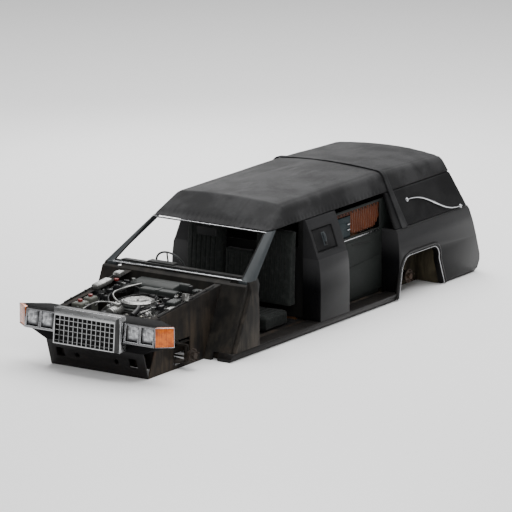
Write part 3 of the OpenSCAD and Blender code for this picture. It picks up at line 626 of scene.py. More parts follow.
# %% Rubber and plastic
def moulded(name, colour, rough=0.6, fade=0.4, grain_scale=380, grain_depth=0.0003, coat=0.0):
    finish = Finish(name, Specular_IOR_Level=0.2)
    leather_grain = finish.cells(grain_scale)
    haze = finish.noise(5.5, 6, 0.6)
    paler_share = (haze.between(0.4, 0.85) * fade).limited()
    dusty = (finish.facing("Z").between(0.2, 1.0) * haze.between(0.3, 0.7) * 0.22).limited()
    base = finish.mix(colour, tuple(c * 2.0 + 0.006 for c in colour), paler_share)
    finish.set(Base_Color=finish.mix(base, DUST, dusty),
               Roughness=(rough + dusty * 0.3 - paler_share * 0.1).limited(),
               Coat_Weight=(coat - dusty).limited())
    return finish.bump(leather_grain, grain_depth).material


rubber = moulded("black_rubber", (0.012, 0.012, 0.012), 0.7, 0.3, 600, 0.0002)
hose_rubber = moulded("hose_rubber", (0.014, 0.014, 0.015), 0.5, 0.3, 300, 0.0003)
dash_plastic = moulded("dash_moulding", (0.006, 0.0065, 0.0065), 0.55, 0.2)
grey_plastic = moulded("grey_moulding", (0.022, 0.025, 0.024), 0.5, 0.3)
black_case = moulded("battery_case", (0.015, 0.015, 0.016), 0.42, 0.25, 500, 0.0002)
red_plastic = moulded("red_cap", (0.16, 0.012, 0.01), 0.4, 0.2, 500, 0.0002, 0.3)
cream_plastic = moulded("aged_bottle_plastic", (0.075, 0.078, 0.066), 0.45, 0.1, 400, 0.0002)
trim_cover = moulded("trim_cover", (0.0105, 0.0125, 0.0115), 0.62, 0.25, 420, 0.0004)
teal_panel = moulded("teal_panel", (0.006, 0.014, 0.017), 0.5, 0.15, 420, 0.0003)
wheel_grey = moulded("wheel_rim_grey", (0.026, 0.029, 0.029), 0.42, 0.25, 300, 0.0002, 0.2)

# %% [markdown]
# The roof is wrapped in padded vinyl. Its grain is a fine wrinkled leather print, the colour has faded from
# black to charcoal where the sun falls, and grime stays in the seams. The soft swelling itself is modelled
# in the mesh, so the finish only carries the grain and the fading.

# %% Padded vinyl
def vinyl(name, colour, faded_colour):
    finish = Finish(name, Specular_IOR_Level=0.12)
    grain = finish.cells(260)
    wrinkle = finish.noise(60, 4, 0.6)
    cloud = finish.noise(2.2, 6, 0.6)
    paler = (finish.facing("Z").between(-0.3, 0.9) * 0.3 + cloud.between(0.40, 0.62) * 0.7).limited()
    streak = finish.noise(3.2, 5, 0.6, stretch=(2.6, 0.5, 1)).between(0.5, 0.68) * 0.55
    finish.set(Base_Color=finish.mix(finish.mix(colour, faded_colour, paler), colour, streak),
               Roughness=(0.66 + (wrinkle - 0.5) * 0.2 - streak * 0.2).limited())
    return finish.bump(grain * 0.5 + wrinkle * 0.6, 0.0008).material


roof_vinyl = vinyl("padded_roof_vinyl", (0.009, 0.009, 0.0095), (0.031, 0.031, 0.032))
landau_vinyl = vinyl("landau_vinyl", (0.004, 0.004, 0.0045), (0.013, 0.013, 0.0135))
band_vinyl = vinyl("band_vinyl", (0.011, 0.011, 0.012), (0.036, 0.036, 0.037))

# %% [markdown]
# The seats are covered in a ribbed cloth with vinyl edges, the drapes in a heavy satin that has kept its
# rust-brown colour. A weave is two crossing sets of fine ribs, one shifted against the other; its size is
# the size of real yarn, about a millimetre.

# %% Cloth
def cloth(name, colour, worn, yarn=900, rough=0.85, sheen=0.1, direction=("X", "Z")):
    finish = Finish(name, Specular_IOR_Level=0.15, Sheen_Weight=sheen, Sheen_Roughness=0.4)
    warp, weft = finish.bands(yarn, direction[0]), finish.bands(yarn, direction[1])
    pile = finish.noise(22, 6, 0.6)
    wear = (pile.between(0.42, 0.8) * 0.8).limited()
    finish.set(Base_Color=finish.mix(finish.mix(colour, worn, wear), tuple(c * 0.4 for c in colour),
                                     warp * weft * 0.6),
               Roughness=(rough - wear * 0.12).limited())
    return finish.bump(warp + weft + pile * 0.6, 0.0005).material


seat_cloth = cloth("ribbed_seat_cloth", (0.011, 0.013, 0.012), (0.027, 0.031, 0.028), sheen=0.08)
drape_satin = cloth("rust_satin", (0.08, 0.018, 0.0035), (0.135, 0.035, 0.006), 700, 0.55, 0.1, ("Y", "Z"))
pelmet_satin = cloth("pelmet_satin", (0.06, 0.013, 0.003), (0.1, 0.025, 0.005), 700, 0.55, 0.1, ("Y", "Z"))
# The carpet is darkened to near black, which paints the deep shade on the floor seen through the doorway.
shaded_carpet = cloth("worn_carpet", (0.006, 0.006, 0.0065), (0.017, 0.0155, 0.0135), 500, 0.95, 0.05, ("X", "Y"))

# %% Varnished boards
def boards(name):
    finish = Finish(name, Coat_Roughness=0.2)
    rings = finish.noise(7, 6, 0.6, stretch=(7, 0.6, 7))
    fibre = finish.noise(60, 4, 0.6, stretch=(9, 0.4, 9))
    scuff = finish.noise(4, 6, 0.7).between(0.5, 0.78)
    grain = (rings * 0.6 + fibre * 0.4).between(0.35, 0.65)
    colour = finish.mix((0.16, 0.075, 0.03), (0.055, 0.023, 0.01), grain)
    finish.set(Base_Color=finish.mix(colour, (0.13, 0.105, 0.08), scuff * 0.45),
               Roughness=(0.35 + scuff * 0.35 + (fibre - 0.5) * 0.1).limited(),
               Coat_Weight=(0.5 - scuff * 0.5).limited())
    return finish.bump(grain * -1 + fibre, 0.0005).material


deck_wood = boards("varnished_deck")
print("finishes made:", len(bpy.data.materials))

# %% [markdown]
# The camera stands where the object is best seen, three quarters from the front and a little above, and far
# away with a long lens so that parallel edges stay parallel. The floor is plain and pale, and three large
# soft lamps do what a studio's ceiling would.

# %% Camera, floor and lamps
AZIMUTH, ELEVATION, DISTANCE = math.radians(33.53), math.radians(13.375), 60.0
VIEW_WIDTH = 5.5932
look_at = Vector((0, 0.0815, 0.6545))
back = Vector((math.sin(AZIMUTH) * math.cos(ELEVATION), -math.cos(AZIMUTH) * math.cos(ELEVATION),
               math.sin(ELEVATION)))
bpy.ops.object.select_all(action="DESELECT")
bpy.ops.object.camera_add(location=look_at + back * DISTANCE,
                          rotation=back.to_track_quat("Z", "Y").to_euler())
camera = bpy.context.object
camera.data.sensor_width = 36
camera.data.lens = DISTANCE * 36 / VIEW_WIDTH
camera.data.clip_start, camera.data.clip_end = 0.5, 400
bpy.context.scene.camera = camera

bpy.ops.object.select_all(action="DESELECT")
bpy.ops.mesh.primitive_plane_add(size=900, location=(0, 0, cad_box[0].z - 0.002))
floor = bpy.context.object
floor.name = "studio_floor"
paper = Finish("pale_floor", Specular_IOR_Level=0.2)
fade = paper.noise(0.15, 3, 0.5)
paper.set(Base_Color=paper.mix((0.86, 0.86, 0.86), (0.9, 0.9, 0.9), fade), Roughness=(fade * 0.1 + 0.8))
floor.data.materials.append(paper.material)

world = bpy.data.worlds.new("soft_studio")
bpy.context.scene.world = world
world.use_nodes = True
world.node_tree.nodes["Background"].inputs["Color"].default_value = (1, 1, 1, 1)
world.node_tree.nodes["Background"].inputs["Strength"].default_value = 0.4


def lamp(name, place, target, watts, width):
    """A large soft lamp aimed at a point."""
    bpy.ops.object.select_all(action="DESELECT")
    aim = (Vector(place) - Vector(target)).to_track_quat("Z", "Y").to_euler()
    bpy.ops.object.light_add(type="AREA", location=place, rotation=aim)
    made = bpy.context.object
    made.name, made.data.energy, made.data.size, made.visible_camera = name, watts, width, False
    return made


lamp("ceiling_lamp", (0, 4, 15), (0, 0, 0), 6000, 20)
lamp("front_lamp", (6, -9, 5), (0, -1, 0.5), 330, 4)
lamp("rear_lamp", (-6, 7, 5), (0, 1, 0.6), 220, 4)
print("camera at", [round(v, 2) for v in camera.location])

# %% [markdown]
# Most steel pieces keep the frame's shape and only need rounded edges and their own finish. A table says
# which node each one stands for, how wide its edge rounding is and which finish it wears; what is hidden
# under the car keeps the frame's node itself and gets a finish of its own.

# %% Steel pieces made as finished copies
COPIES = [
    ("sills", "sill_panels", gloss_black, "gloss_black", 0.006),
    ("bulkhead", "bulkhead_panel", bulkhead_dirt, "dirty_steel", 0.004),
    ("hinge_pillars", "hinge_pillar_panels", pillar_dirt, "dirty_steel", 0.008),
    ("inner_fenders", "inner_fender_panels", well_dirt, "dirty_steel", 0.004),
    ("radiator_support", "radiator_frame", satin_black, "satin_black", 0.004),
    ("nose_panel", "nose_skin", nose_black, "gloss_black", 0.006),
    ("front_valance", "valance_panel", gloss_black, "gloss_black", 0.004),
    ("windscreen_frame", "windscreen_pillars", pillar_grey, "pillar_grey", 0.006),
    ("dashboard", "dashboard_pad", dash_plastic, "dash_black", 0.014),
    ("partition", "partition_wall", satin_black, "satin_black", 0.006),
    ("quarter_panels", "quarter_skins", side_black, "gloss_black", 0.006),
    ("wheelhouses", "wheelhouse_tubs", olive_dirt, "dirty_steel", 0.012),
    ("side_trims", "side_trim_boards", trim_cover, "trim_board", 0.006),
    ("tail_panel", "tail_sill_panel", gloss_black, "gloss_black", 0.008),
    ("fuel_tank", "fuel_tank_shell", tank_steel, "tank_steel", 0.022),
    ("heater_box", "heater_case", grey_plastic, "heater_case", 0.016),
]
for node, name, finish, slot, width in COPIES:
    fit(finished_copy(node, name, width, 3 if width > 0.01 else 2), finish, instead_of=node)
print("finished copies:", len(COPIES))

# %% Nodes that keep their own mesh
KEPT = {
    "frame_rails": chassis_rust, "floor_pan": shaded_carpet, "rear_axle": iron, "front_suspension": iron,
    "track_rod": iron, "knuckle_left": iron, "knuckle_right": iron, "front_hub_left": hub_rust,
    "front_hub_right": hub_rust, "rear_hub_left": hub_rust, "rear_hub_right": hub_rust,
    "engine": engine_iron, "steering_column": dash_plastic,
}
for node in nodes:
    nodes[node].data.materials.clear()
    nodes[node].data.materials.append(KEPT.get(node, satin_black))

# %% [markdown]
# The roof's padding is a layer of foam under vinyl. An evenly meshed copy of the roof gets soft edges, then
# its
# points are moved as a sculptor would: gathered into small puckers where the vinyl is pulled over the header
# and along the foot of each side, and pulled in along the seam that runs down each shoulder.

# %% Padded roof
HEADER_Y = 2.113 - MIDDLE
roof = soft_copy("roof_shell", "padded_roof", 0.016)
points, normals = coordinates(roof), point_normals(roof)
from_header = points[:, 1] - HEADER_Y
puckers = np.abs(np.sin(points[:, 0] * math.pi / 0.062))
gathered = np.exp(-((from_header - 0.04) / 0.05) ** 2) * puckers * (points[:, 2] > 1.19) * 1.6
along = np.abs(np.sin(points[:, 1] * math.pi / 0.070 + np.sin(points[:, 1] * 3)))
side_face = (np.abs(points[:, 0]) > 0.66) * (from_header > 0.3) * (points[:, 1] < 4.36 - MIDDLE)
gathered = gathered + side_face * along * np.exp(-((points[:, 2] - 1.215) / 0.035) ** 2)
seam = np.exp(-((np.abs(points[:, 0]) - 0.655) / 0.012) ** 2) * (points[:, 2] > 1.32) * 0.004
swell = 0.003 * np.sin(points[:, 1] * 7.3) * np.sin(points[:, 0] * 5.1)
outside = np.clip(normals @ np.array([0, 0, 1]), 0, 1)
move_points(roof, points - normals * (gathered * 0.007 + seam * outside - swell * outside)[:, None])
fit(roof, roof_vinyl, instead_of="roof_shell")
print("roof faces:", len(roof.data.polygons))

landau = soft_copy("landau_panels", "padded_landau_panels", 0.014)
fit(landau, landau_vinyl, instead_of="landau_panels")
band = soft_copy("roof_band", "padded_roof_band", 0.007)
fit(band, band_vinyl, instead_of="roof_band")
print("landau and band faces:", len(landau.data.polygons), len(band.data.polygons))

# %% Door posts
fit(finished_copy("door_posts", "door_post_pads", 0.012, 3), post_black, instead_of="door_posts")

# %% [markdown]
# ## The nose
# Each headlamp unit is one bright bezel with two square wells. The bezel is a finished copy of the frame's
# own piece; each well gets a black liner that paints the shade at its back, a thin bright rim and a moulded
# glass whose flutes are real ridges, made by moving the points of a fine grid.

# %% Headlamps
def moulded_glass(name, x_range, y_face, z_range, lean, flutes, ridge=0.0016, crown=0.009):
    """A crowned lamp glass with upright flutes, facing -Y and leaning back by lean metres."""
    bpy.ops.object.select_all(action="DESELECT")
    bpy.ops.mesh.primitive_grid_add(x_subdivisions=flutes * 6, y_subdivisions=14, size=2)
    glass = settle(bpy.context.object, name)
    across, up = coordinates(glass)[:, 0], coordinates(glass)[:, 1]
    x = np.interp(across, [-1, 1], x_range)
    z = np.interp(up, [-1, 1], z_range)
    bulge = crown * (1 - across ** 4) * (1 - up ** 4)
    ridges = ridge * np.abs(np.sin(across * math.pi * flutes / 2))
    y = y_face - bulge - ridges + lean * (up + 1) / 2
    move_points(glass, np.stack([x, y - MIDDLE, z], 1))
    apply_modifier(glass, "SOLIDIFY", thickness=0.008, offset=1)
    tidy_mesh(glass)
    return soften(glass, 0, angle=50)


def rim_round(name, corners, radius):
    """A thin rolled rim through the corners of an opening."""
    return pipe(name, corners, radius, sides=12, smooth=False, closed=True)


fit(finished_copy("headlamps", "headlamp_bezels", 0.003), bezel_silver, instead_of="headlamps")
glasses, shade_liners, rims = [], [], []
for left in (0.460, 0.650):
    x0, x1, z0, z1 = left, left + 0.160, 0.429, 0.596
    glasses.append(moulded_glass(f"glass_{left}", (x0 + 0.012, x1 - 0.008), -0.139,
                                 (z0 + 0.012, z1 - 0.008), 0.012, 7))
    # The black liner is painted shade at the back of the well.
    shade_liners.append(block(f"liner_{left}", at(x0 + 0.001, -0.130, z0 + 0.001),
                        at(x1 - 0.001, -0.1262, z1 - 0.001), 0.001))
    corners = [at(x0, -0.164, z0), at(x1, -0.164, z0), at(x1, -0.136, z1), at(x0, -0.136, z1)]
    rims.append(rim_round(f"rim_{left}", corners, 0.0035))
fit(both_sides(join(glasses, "headlamp_glasses"), "headlamp_glasses"), headlamp_glass)
fit(both_sides(join(shade_liners, "headlamp_wells"), "headlamp_wells"), rubber)
fit(both_sides(join(rims, "headlamp_rims"), "headlamp_rims"), chrome)

# %% Corner lamps
fit(finished_copy("corner_lamps", "corner_lenses", 0.004, 3), amber_glass, instead_of="corner_lamps")
corner = [at(0.8345, -0.1535, 0.407), at(0.981, -0.0395, 0.407), at(0.9875, -0.026, 0.407),
          at(0.9875, -0.026, 0.614), at(0.981, -0.0395, 0.614), at(0.8345, -0.1535, 0.614)]
fit(both_sides(rim_round("corner_lamp_rims", corner, 0.0042), "corner_lamp_rims"), silver_trim)

# %% [markdown]
# The grille is a deep chromed box with a heavy top bar and an egg-crate of thirteen columns. Its side faces
# are dark towards the front and the plate shows only at their rear edge; the cell walls that look away, the
# deep parts of the cells and the faces that look up are painted shade, so the finish of this one piece
# changes with where the surface is. A black sheet behind the bars is painted shade that closes the view.

# %% Grille
def grille_plate():
    finish = Finish("grille_chrome")
    across = finish.axis("X").maths("ABSOLUTE")
    # The box's side faces are dark towards the front.
    side = finish.facing("X").maths("ABSOLUTE").between(0.4, 0.7) * across.between(0.388, 0.392)
    front = 1 - finish.axis("Y").between(-MIDDLE - 0.205, -MIDDLE - 0.2)
    height = finish.axis("Z")
    in_cell = (1 - across.between(0.409, 0.411)) * (1
                                                    - height.between(0.619, 0.622)) * height.between(0.305,
                                                                                                     0.31)
    # Painted shade: cell walls that look away from the front, the deeper parts of the cells, and faces that
    # look up.
    looks_away = 1 - (finish.facing("Y") * -1).between(0.5, 0.9)
    low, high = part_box("grille")
    behind = finish.axis("Y") - (height - low.z - 0.015) * (0.032 / (high.z - low.z - 0.035)) - low.y
    shaded_top = finish.facing("Z").between(0.5, 0.8) * 0.9
    dark_sides_and_shade = (side * front + in_cell * (looks_away + behind.between(0.009, 0.014) * 0.75)
                    + shaded_top).limited()
    haze, grime = finish.noise(14, 6, 0.6), finish.noise(7, 5, 0.6).between(0.45, 0.8) * 0.3
    dark = (dark_sides_and_shade + grime * 0.6).limited()
    finish.set(Base_Color=finish.mix((0.42, 0.425, 0.43), (0.006, 0.006, 0.006), dark), Metallic=1 - dark,
               Roughness=(0.12 + haze.between(0.35, 0.8) * 0.25 + dark_sides_and_shade * 0.3).limited())
    return finish.bump(haze, 0.0002).material


fit(finished_copy("grille", "grille_crate", 0.0022), grille_plate(), instead_of="grille")
# A black sheet behind the bars paints the shade inside the cells.
well = plate("grille_shade_sheet", [at(-0.374, -0.211, 0.33), at(0.374, -0.211, 0.33), at(0.374, -0.184, 0.612),
                                at(-0.374, -0.184, 0.612)], (0, 0.004, 0), 0)
fit(well, rubber)
outline = [at(-0.4235, -0.2145, 0.303), at(0.4235, -0.2145, 0.303), at(0.4235, -0.1825, 0.6785),
           at(-0.4235, -0.1825, 0.6785)]
fit(rim_round("grille_outline", outline, 0.0048), chrome)

# %% [markdown]
# ## The radiator and the engine bay
# A radiator core is hundreds of thin fins between two tanks. Each fin here is one thin plate, modelled once
# and repeated, with cooling tubes seen between them.

# %% Radiator
fin = block("radiator_fins", at(-0.332, 0.171, 0.246), at(-0.3295, 0.212, 0.541), 0)
core = copies(fin, [(0.0104 * i, 0, 0) for i in range(1, 64)], "radiator_fins")
fit(core, satin_black, instead_of="radiator")
tubes = block("radiator_tubes", at(-0.332, 0.186, 0.262), at(0.332, 0.196, 0.266), 0.001)
fit(copies(tubes, [(0, 0, 0.014 * i) for i in range(1, 20)], "radiator_tubes"), dull_alloy)
tanks = [block("tank_top", at(-0.34, 0.1685, 0.54), at(0.34, 0.2135, 0.58), 0.008, 3),
         block("tank_bottom", at(-0.34, 0.1685, 0.205), at(0.34, 0.2135, 0.247), 0.008, 3)]
fit(join(tanks, "radiator_tanks"), black_case)
cap = lathe("radiator_cap", [(0, 0), (0.021, 0), (0.0225, 0.003), (0.0225, 0.008), (0.019, 0.0125),
                             (0, 0.0135)],
            at(-0.23, 0.191, 0.58))
fit(cap, zinc)

# %% [markdown]
# The engine is a V of two cylinder banks. On top of the rough casting sit the parts that were once kept
# clean: ribbed alloy covers, an intake with its runners, and the round air cleaner.

# %% Valve covers and intake
BANK = math.radians(42)
ENGINE_Y = 0.44


def on_bank(piece):
    """Turn a piece modelled upright into the left bank's own slope and set it on the engine."""
    points = coordinates(piece).astype(float)
    x, z = points[:, 0].copy(), points[:, 2].copy()
    points[:, 0] = 0.06 + x * math.cos(BANK) + z * math.sin(BANK)
    points[:, 2] = 0.30 - x * math.sin(BANK) + z * math.cos(BANK)
    points[:, 1] += ENGINE_Y - MIDDLE
    return move_points(piece, points)


def upright(x, y, z):
    return Vector((x, y, z))


cover = [block("cover_top", upright(-0.062, 0.06, 0.291), upright(0.062, 0.60, 0.335), 0.016, 4),
         block("cover_flange", upright(-0.078, 0.05, 0.2903), upright(0.078, 0.61, 0.300), 0.003)]
rib = block("cover_rib", upright(-0.052, 0.10, 0.332), upright(0.052, 0.106, 0.342), 0.0025)
cover.append(copies(rib, [(0, 0.036 * i, 0) for i in range(1, 13)], "cover_ribs"))
bolt = round_bar("cover_bolt", upright(-0.070, 0.075, 0.300), upright(-0.070, 0.075, 0.307), 0.006, 6)
cover.append(copies(bolt, [(dx, 0.128 * i, 0) for i in range(5) for dx in (0, 0.14) if (i, dx) != (0, 0)],
                    "cover_bolts"))
fit(both_sides(on_bank(join(cover, "valve_covers")), "valve_covers"), bare_alloy)
manifold = [block("plenum", at(-0.095, 0.55, 0.5402), at(0.095, 1.00, 0.566), 0.012, 3)]
for i in range(4):
    y = 0.60 + 0.115 * i
    manifold.append(pipe(f"runner_{i}",
                         [at(0.06, y, 0.553), at(0.12, y, 0.556), at(0.165, y, 0.53), at(0.19, y, 0.475)],
                         0.02, 16))
    manifold.append(pipe(f"twin_runner_{i}",
                         [at(-0.06, y, 0.553), at(-0.12, y, 0.556), at(-0.165, y, 0.53),
                          at(-0.19, y, 0.475)], 0.02, 16))
fit(join(manifold, "intake_manifold"), dull_alloy)
exhaust = [pipe("exhaust_log", [at(0.30, 0.50, 0.40), at(0.315, 0.60, 0.385), at(0.315, 0.95, 0.38),
                                at(0.30, 1.08, 0.33)], 0.026, 16)]
for i in range(4):
    y = 0.56 + 0.13 * i
    exhaust.append(pipe(f"exhaust_port_{i}",
                        [at(0.20, y, 0.40), at(0.26, y, 0.405), at(0.305, y + 0.01, 0.39)], 0.019, 16))
fit(both_sides(join(exhaust, "exhaust_manifolds"), "exhaust_manifolds"), hub_rust)

# %% Air cleaner
centre = at(0, 0.74, 0)
pan = lathe("air_cleaner_pan", [(0, 0.5405), (0.058, 0.5405), (0.058, 0.578), (0.168, 0.579),
                                (0.183, 0.584), (0.183, 0.607), (0.176, 0.610), (0, 0.610)], centre, 64)
lid = lathe("air_cleaner_lid", [(0, 0.6104), (0.179, 0.6104), (0.185, 0.613), (0.185, 0.618),
                                (0.175, 0.622), (0.163, 0.618), (0.150, 0.626), (0.118, 0.630),
                                (0.110, 0.625), (0.060, 0.626), (0.050, 0.621), (0.012, 0.621),
                                (0.012, 0.627), (0, 0.628)], centre, 64)
wing = block("wing_nut", at(-0.018, 0.737, 0.6275), at(0.018, 0.743, 0.6345), 0.002)
fit(join([lid, wing], "air_cleaner_lid"), bare_alloy, instead_of="air_cleaner")
fit(pan, dull_alloy)
snorkel = pipe("air_snorkel", [at(0.10, 0.61, 0.596), at(0.15, 0.54, 0.598), at(0.19, 0.44, 0.590),
                               at(0.21, 0.33, 0.572)], 0.024, 20)
fit(snorkel, black_case)

# %% [markdown]
# The front of the engine carries its belt drive: pulleys, a ribbed alternator, a pump and a fan in front of
# the radiator. Round parts are cones and bars; the belt is a flat band that follows the pulleys.

# %% Belt drive and fan
FAN_BLADES = 7
FAN_Z = 0.43
wheels = []
for x, z, radius in ((0, 0.27, 0.078), (0, 0.43, 0.058), (0.215, 0.455, 0.036), (-0.225, 0.42, 0.048)):
    wheels.append(round_bar(f"pulley_{x}_{z}", at(x, 0.392, z), at(x, 0.372, z), radius, 48, 0.003))
    wheels.append(round_bar(f"pulley_hub_{x}_{z}", at(x, 0.40, z), at(x, 0.362, z), radius * 0.35, 24,
                            0.003))
fit(join(wheels, "pulleys"), zinc)
belt_points = [at(0.078, 0.382, 0.262), at(0.05, 0.382, 0.210), at(0, 0.382, 0.190),
               at(-0.05, 0.382, 0.207), at(-0.16, 0.382, 0.345),
               at(-0.27, 0.382, 0.40), at(-0.274, 0.382, 0.445), at(-0.225, 0.382, 0.471),
               at(0, 0.382, 0.490), at(0.215, 0.382, 0.493),
               at(0.25, 0.382, 0.468), at(0.248, 0.382, 0.435)]
fit(pipe("fan_belt", belt_points, 0.0055, 8, closed=True), rubber)
alternator = [round_bar("alternator_body", at(0.215, 0.40, 0.455), at(0.215, 0.53, 0.455), 0.068, 48,
                        0.012),
              round_bar("alternator_end", at(0.215, 0.53, 0.455), at(0.215, 0.556, 0.455), 0.052, 32,
                        0.008)]
rib = block("alternator_rib", at(0.212, 0.425, 0.521), at(0.218, 0.51, 0.527), 0.002)
alternator.append(copies(rib, [(-0.022, 0, -0.004), (0.022, 0, -0.004)], "alternator_ribs"))
alternator.append(block("alternator_bracket", at(0.11, 0.435, 0.40), at(0.19, 0.475, 0.425), 0.006))
fit(join(alternator, "alternator"), dull_alloy)
pump = [round_bar("pump_body", at(-0.225, 0.40, 0.42), at(-0.225, 0.50, 0.42), 0.045, 32, 0.008),
        round_bar("pump_bottle", at(-0.225, 0.45, 0.46), at(-0.225, 0.45, 0.535), 0.042, 32, 0.01),
        block("pump_bracket", at(-0.19, 0.435, 0.38), at(-0.11, 0.475, 0.405), 0.006)]
fit(join(pump, "steering_pump"), black_case)
blade = block("fan_blade", at(-0.034, 0.318, 0.48), at(0.034, 0.322, 0.575), 0.0015)
blades = []
for i in range(FAN_BLADES):
    turn = 2 * math.pi * i / FAN_BLADES
    twin = blade.copy()
    twin.data = blade.data.copy()
    bpy.context.scene.collection.objects.link(twin)
    points = coordinates(twin).astype(float)
    x, z = points[:, 0].copy(), points[:, 2] - FAN_Z
    points[:, 1] += x * 0.4
    points[:, 0] = x * math.cos(turn) - z * math.sin(turn)
    points[:, 2] = FAN_Z + x * math.sin(turn) + z * math.cos(turn)
    blades.append(move_points(twin, points))
bpy.data.objects.remove(blade)
blades.append(round_bar("fan_hub", at(0, 0.365, 0.43), at(0, 0.305, 0.43), 0.062, 40, 0.008))
fit(join(blades, "cooling_fan"), satin_black)

# %% [markdown]
# Hoses and looms make an engine bay look lived in. Each is a pipe along a few points: thick for coolant,
# thin for wires. Clamps sit on some of the hoses and clips on the looms, and all are fixed plumbing, not
# loose cords.

# %% Hoses, leads and looms
hoses = [pipe("top_hose", [at(0.20, 0.205, 0.558), at(0.20, 0.25, 0.575), at(0.14, 0.33, 0.565),
                           at(0.06, 0.41, 0.53), at(0.03, 0.46, 0.50)], 0.02, 16),
         pipe("bottom_hose", [at(-0.26, 0.205, 0.235), at(-0.26, 0.26, 0.235), at(-0.17, 0.33, 0.25),
                              at(-0.10, 0.42, 0.27)], 0.021, 16),
         pipe("heater_hose_a", [at(-0.05, 0.48, 0.49), at(-0.26, 0.55, 0.60), at(-0.42, 0.80, 0.63),
                                at(-0.40, 1.05, 0.63), at(-0.34, 1.18, 0.61)], 0.011, 12),
         pipe("heater_hose_b", [at(0.04, 0.50, 0.51), at(0.27, 0.60, 0.62), at(0.37, 0.85, 0.64),
                                at(0.30, 1.06, 0.66), at(0.11, 1.18, 0.63)], 0.011, 12),
         pipe("servo_hose", [at(-0.04, 1.00, 0.556), at(-0.12, 1.08, 0.62), at(-0.35, 1.13, 0.665),
                             at(-0.47, 1.17, 0.66)], 0.009, 12)]
fit(join(hoses, "hoses"), hose_rubber)
clamps = [pipe(f"clamp_{i}", [a, b], r, 16, smooth=False) for i, (a, b, r) in enumerate([
    (at(0.196, 0.255, 0.574), at(0.188, 0.264, 0.574), 0.0228),
    (at(0.045, 0.432, 0.520), at(0.041, 0.440, 0.516), 0.0226),
    (at(-0.405, 1.03, 0.63), at(-0.404, 1.038, 0.63), 0.0135),
    (at(0.325, 1.01, 0.655), at(0.321, 1.018, 0.656), 0.0135)])]
fit(join(clamps, "hose_clamps"), zinc)
leads = []
for side in (1, -1):
    for i in range(4):
        y = 0.58 + 0.13 * i
        sag = 0.012 * ((i * 7) % 3)
        leads.append(pipe(f"lead_{side}_{i}",
                          [at(side * 0.02, 1.03, 0.62), at(side * 0.10, 0.98 - 0.01 * i, 0.645 - sag),
                           at(side * 0.21, y + 0.06, 0.625 - sag),
                                              at(side * 0.30, y + 0.01, 0.56), at(side * 0.325, y, 0.47),
                           at(side * 0.28, y, 0.43)], 0.0042, 8))
leads.append(round_bar("distributor", at(0, 1.03, 0.50), at(0, 1.03, 0.60), 0.045, 32, 0.006))
leads.append(round_bar("distributor_cap", at(0, 1.03, 0.60), at(0, 1.03, 0.628), 0.05, 32, 0.01, 0.04))
fit(join(leads, "ignition_leads"), hose_rubber)


def ledge(y):
    """Height of the inner fender's ledge."""
    return 0.606 + (y - 0.17) * 0.1192


looms = []
for side in (1, -1):
    run = [at(side * 0.60, y, ledge(y) + 0.009) for y in (0.24, 0.45, 0.70, 0.95, 1.20, 1.29)]
    looms.append(pipe(f"loom_{side}", run, 0.0085, 10))
    for y in (0.36, 0.62, 0.88, 1.14):
        looms.append(block(f"loom_clip_{side}_{y}", at(side * 0.60 - 0.013, y, ledge(y)),
                           at(side * 0.60 + 0.013, y + 0.014, ledge(y) + 0.021), 0.003))
fit(join(looms, "wiring_looms"), rubber)

# %% [markdown]
# Along the far side stand the boxes and bottles every bay has: a washer bottle, a coolant bottle, a relay
# box and a vacuum tank. The near side has the battery on its tray, with caps, clamp and thick cables.

# %% Bottles, boxes and battery
bottles = [block("washer_bottle", at(-0.535, 0.26, 0.44), at(-0.40, 0.43, 0.625), 0.022, 4),
           block("coolant_bottle", at(-0.535, 0.47, 0.46), at(-0.42, 0.62, 0.640), 0.026, 4)]
fit(join(bottles, "fluid_bottles"), cream_plastic)
brackets = [block("bottle_shelf", at(-0.606, 0.25, 0.432), at(-0.40, 0.63, 0.44), 0.002),
            block("bottle_strap", at(-0.606, 0.34, 0.53), at(-0.53, 0.36, 0.545), 0.002),
            block("battery_shelf", at(0.29, 0.215, 0.385), at(0.53, 0.405, 0.3945), 0.002),
            block("battery_leg_a", at(0.43, 0.215, 0.2005), at(0.50, 0.26, 0.386), 0.003),
            block("battery_leg_b", at(0.43, 0.36, 0.2005), at(0.50, 0.405, 0.386), 0.003),
            block("battery_clamp", at(0.292, 0.300, 0.576), at(0.528, 0.322, 0.582), 0.002)]
fit(join(brackets, "bay_brackets"), chassis_rust)
caps = [round_bar("washer_cap", at(-0.47, 0.345, 0.624), at(-0.47, 0.345, 0.652), 0.026, 24, 0.004),
        round_bar("coolant_cap", at(-0.478, 0.545, 0.639), at(-0.478, 0.545, 0.664), 0.024, 24, 0.004),
        round_bar("fluid_cap", at(-0.50, 1.06, 0.705), at(-0.50, 1.06, 0.728), 0.026, 24, 0.004),
        round_bar("oil_cap", at(0.262, 0.74, 0.585), at(0.285, 0.74, 0.61), 0.026, 24, 0.005)]
fit(join(caps, "filler_caps"), red_plastic)
far_covers = [block("vacuum_tank", at(-0.60, 0.72, 0.674), at(-0.50, 1.00, 0.735), 0.024, 4, 5.5),
              block("relay_cover", at(-0.60, 1.13, 0.722), at(-0.51, 1.24, 0.775), 0.012, 3, 6),
              round_bar("canister", at(0.575, 0.78, 0.684), at(0.575, 0.80, 0.760), 0.04, 32, 0.008),
              block("coil_bracket", at(0.54, 0.46, ledge(0.46)), at(0.60, 0.60, 0.665), 0.01, 3)]
fit(join(far_covers, "alloy_covers"), bare_alloy)
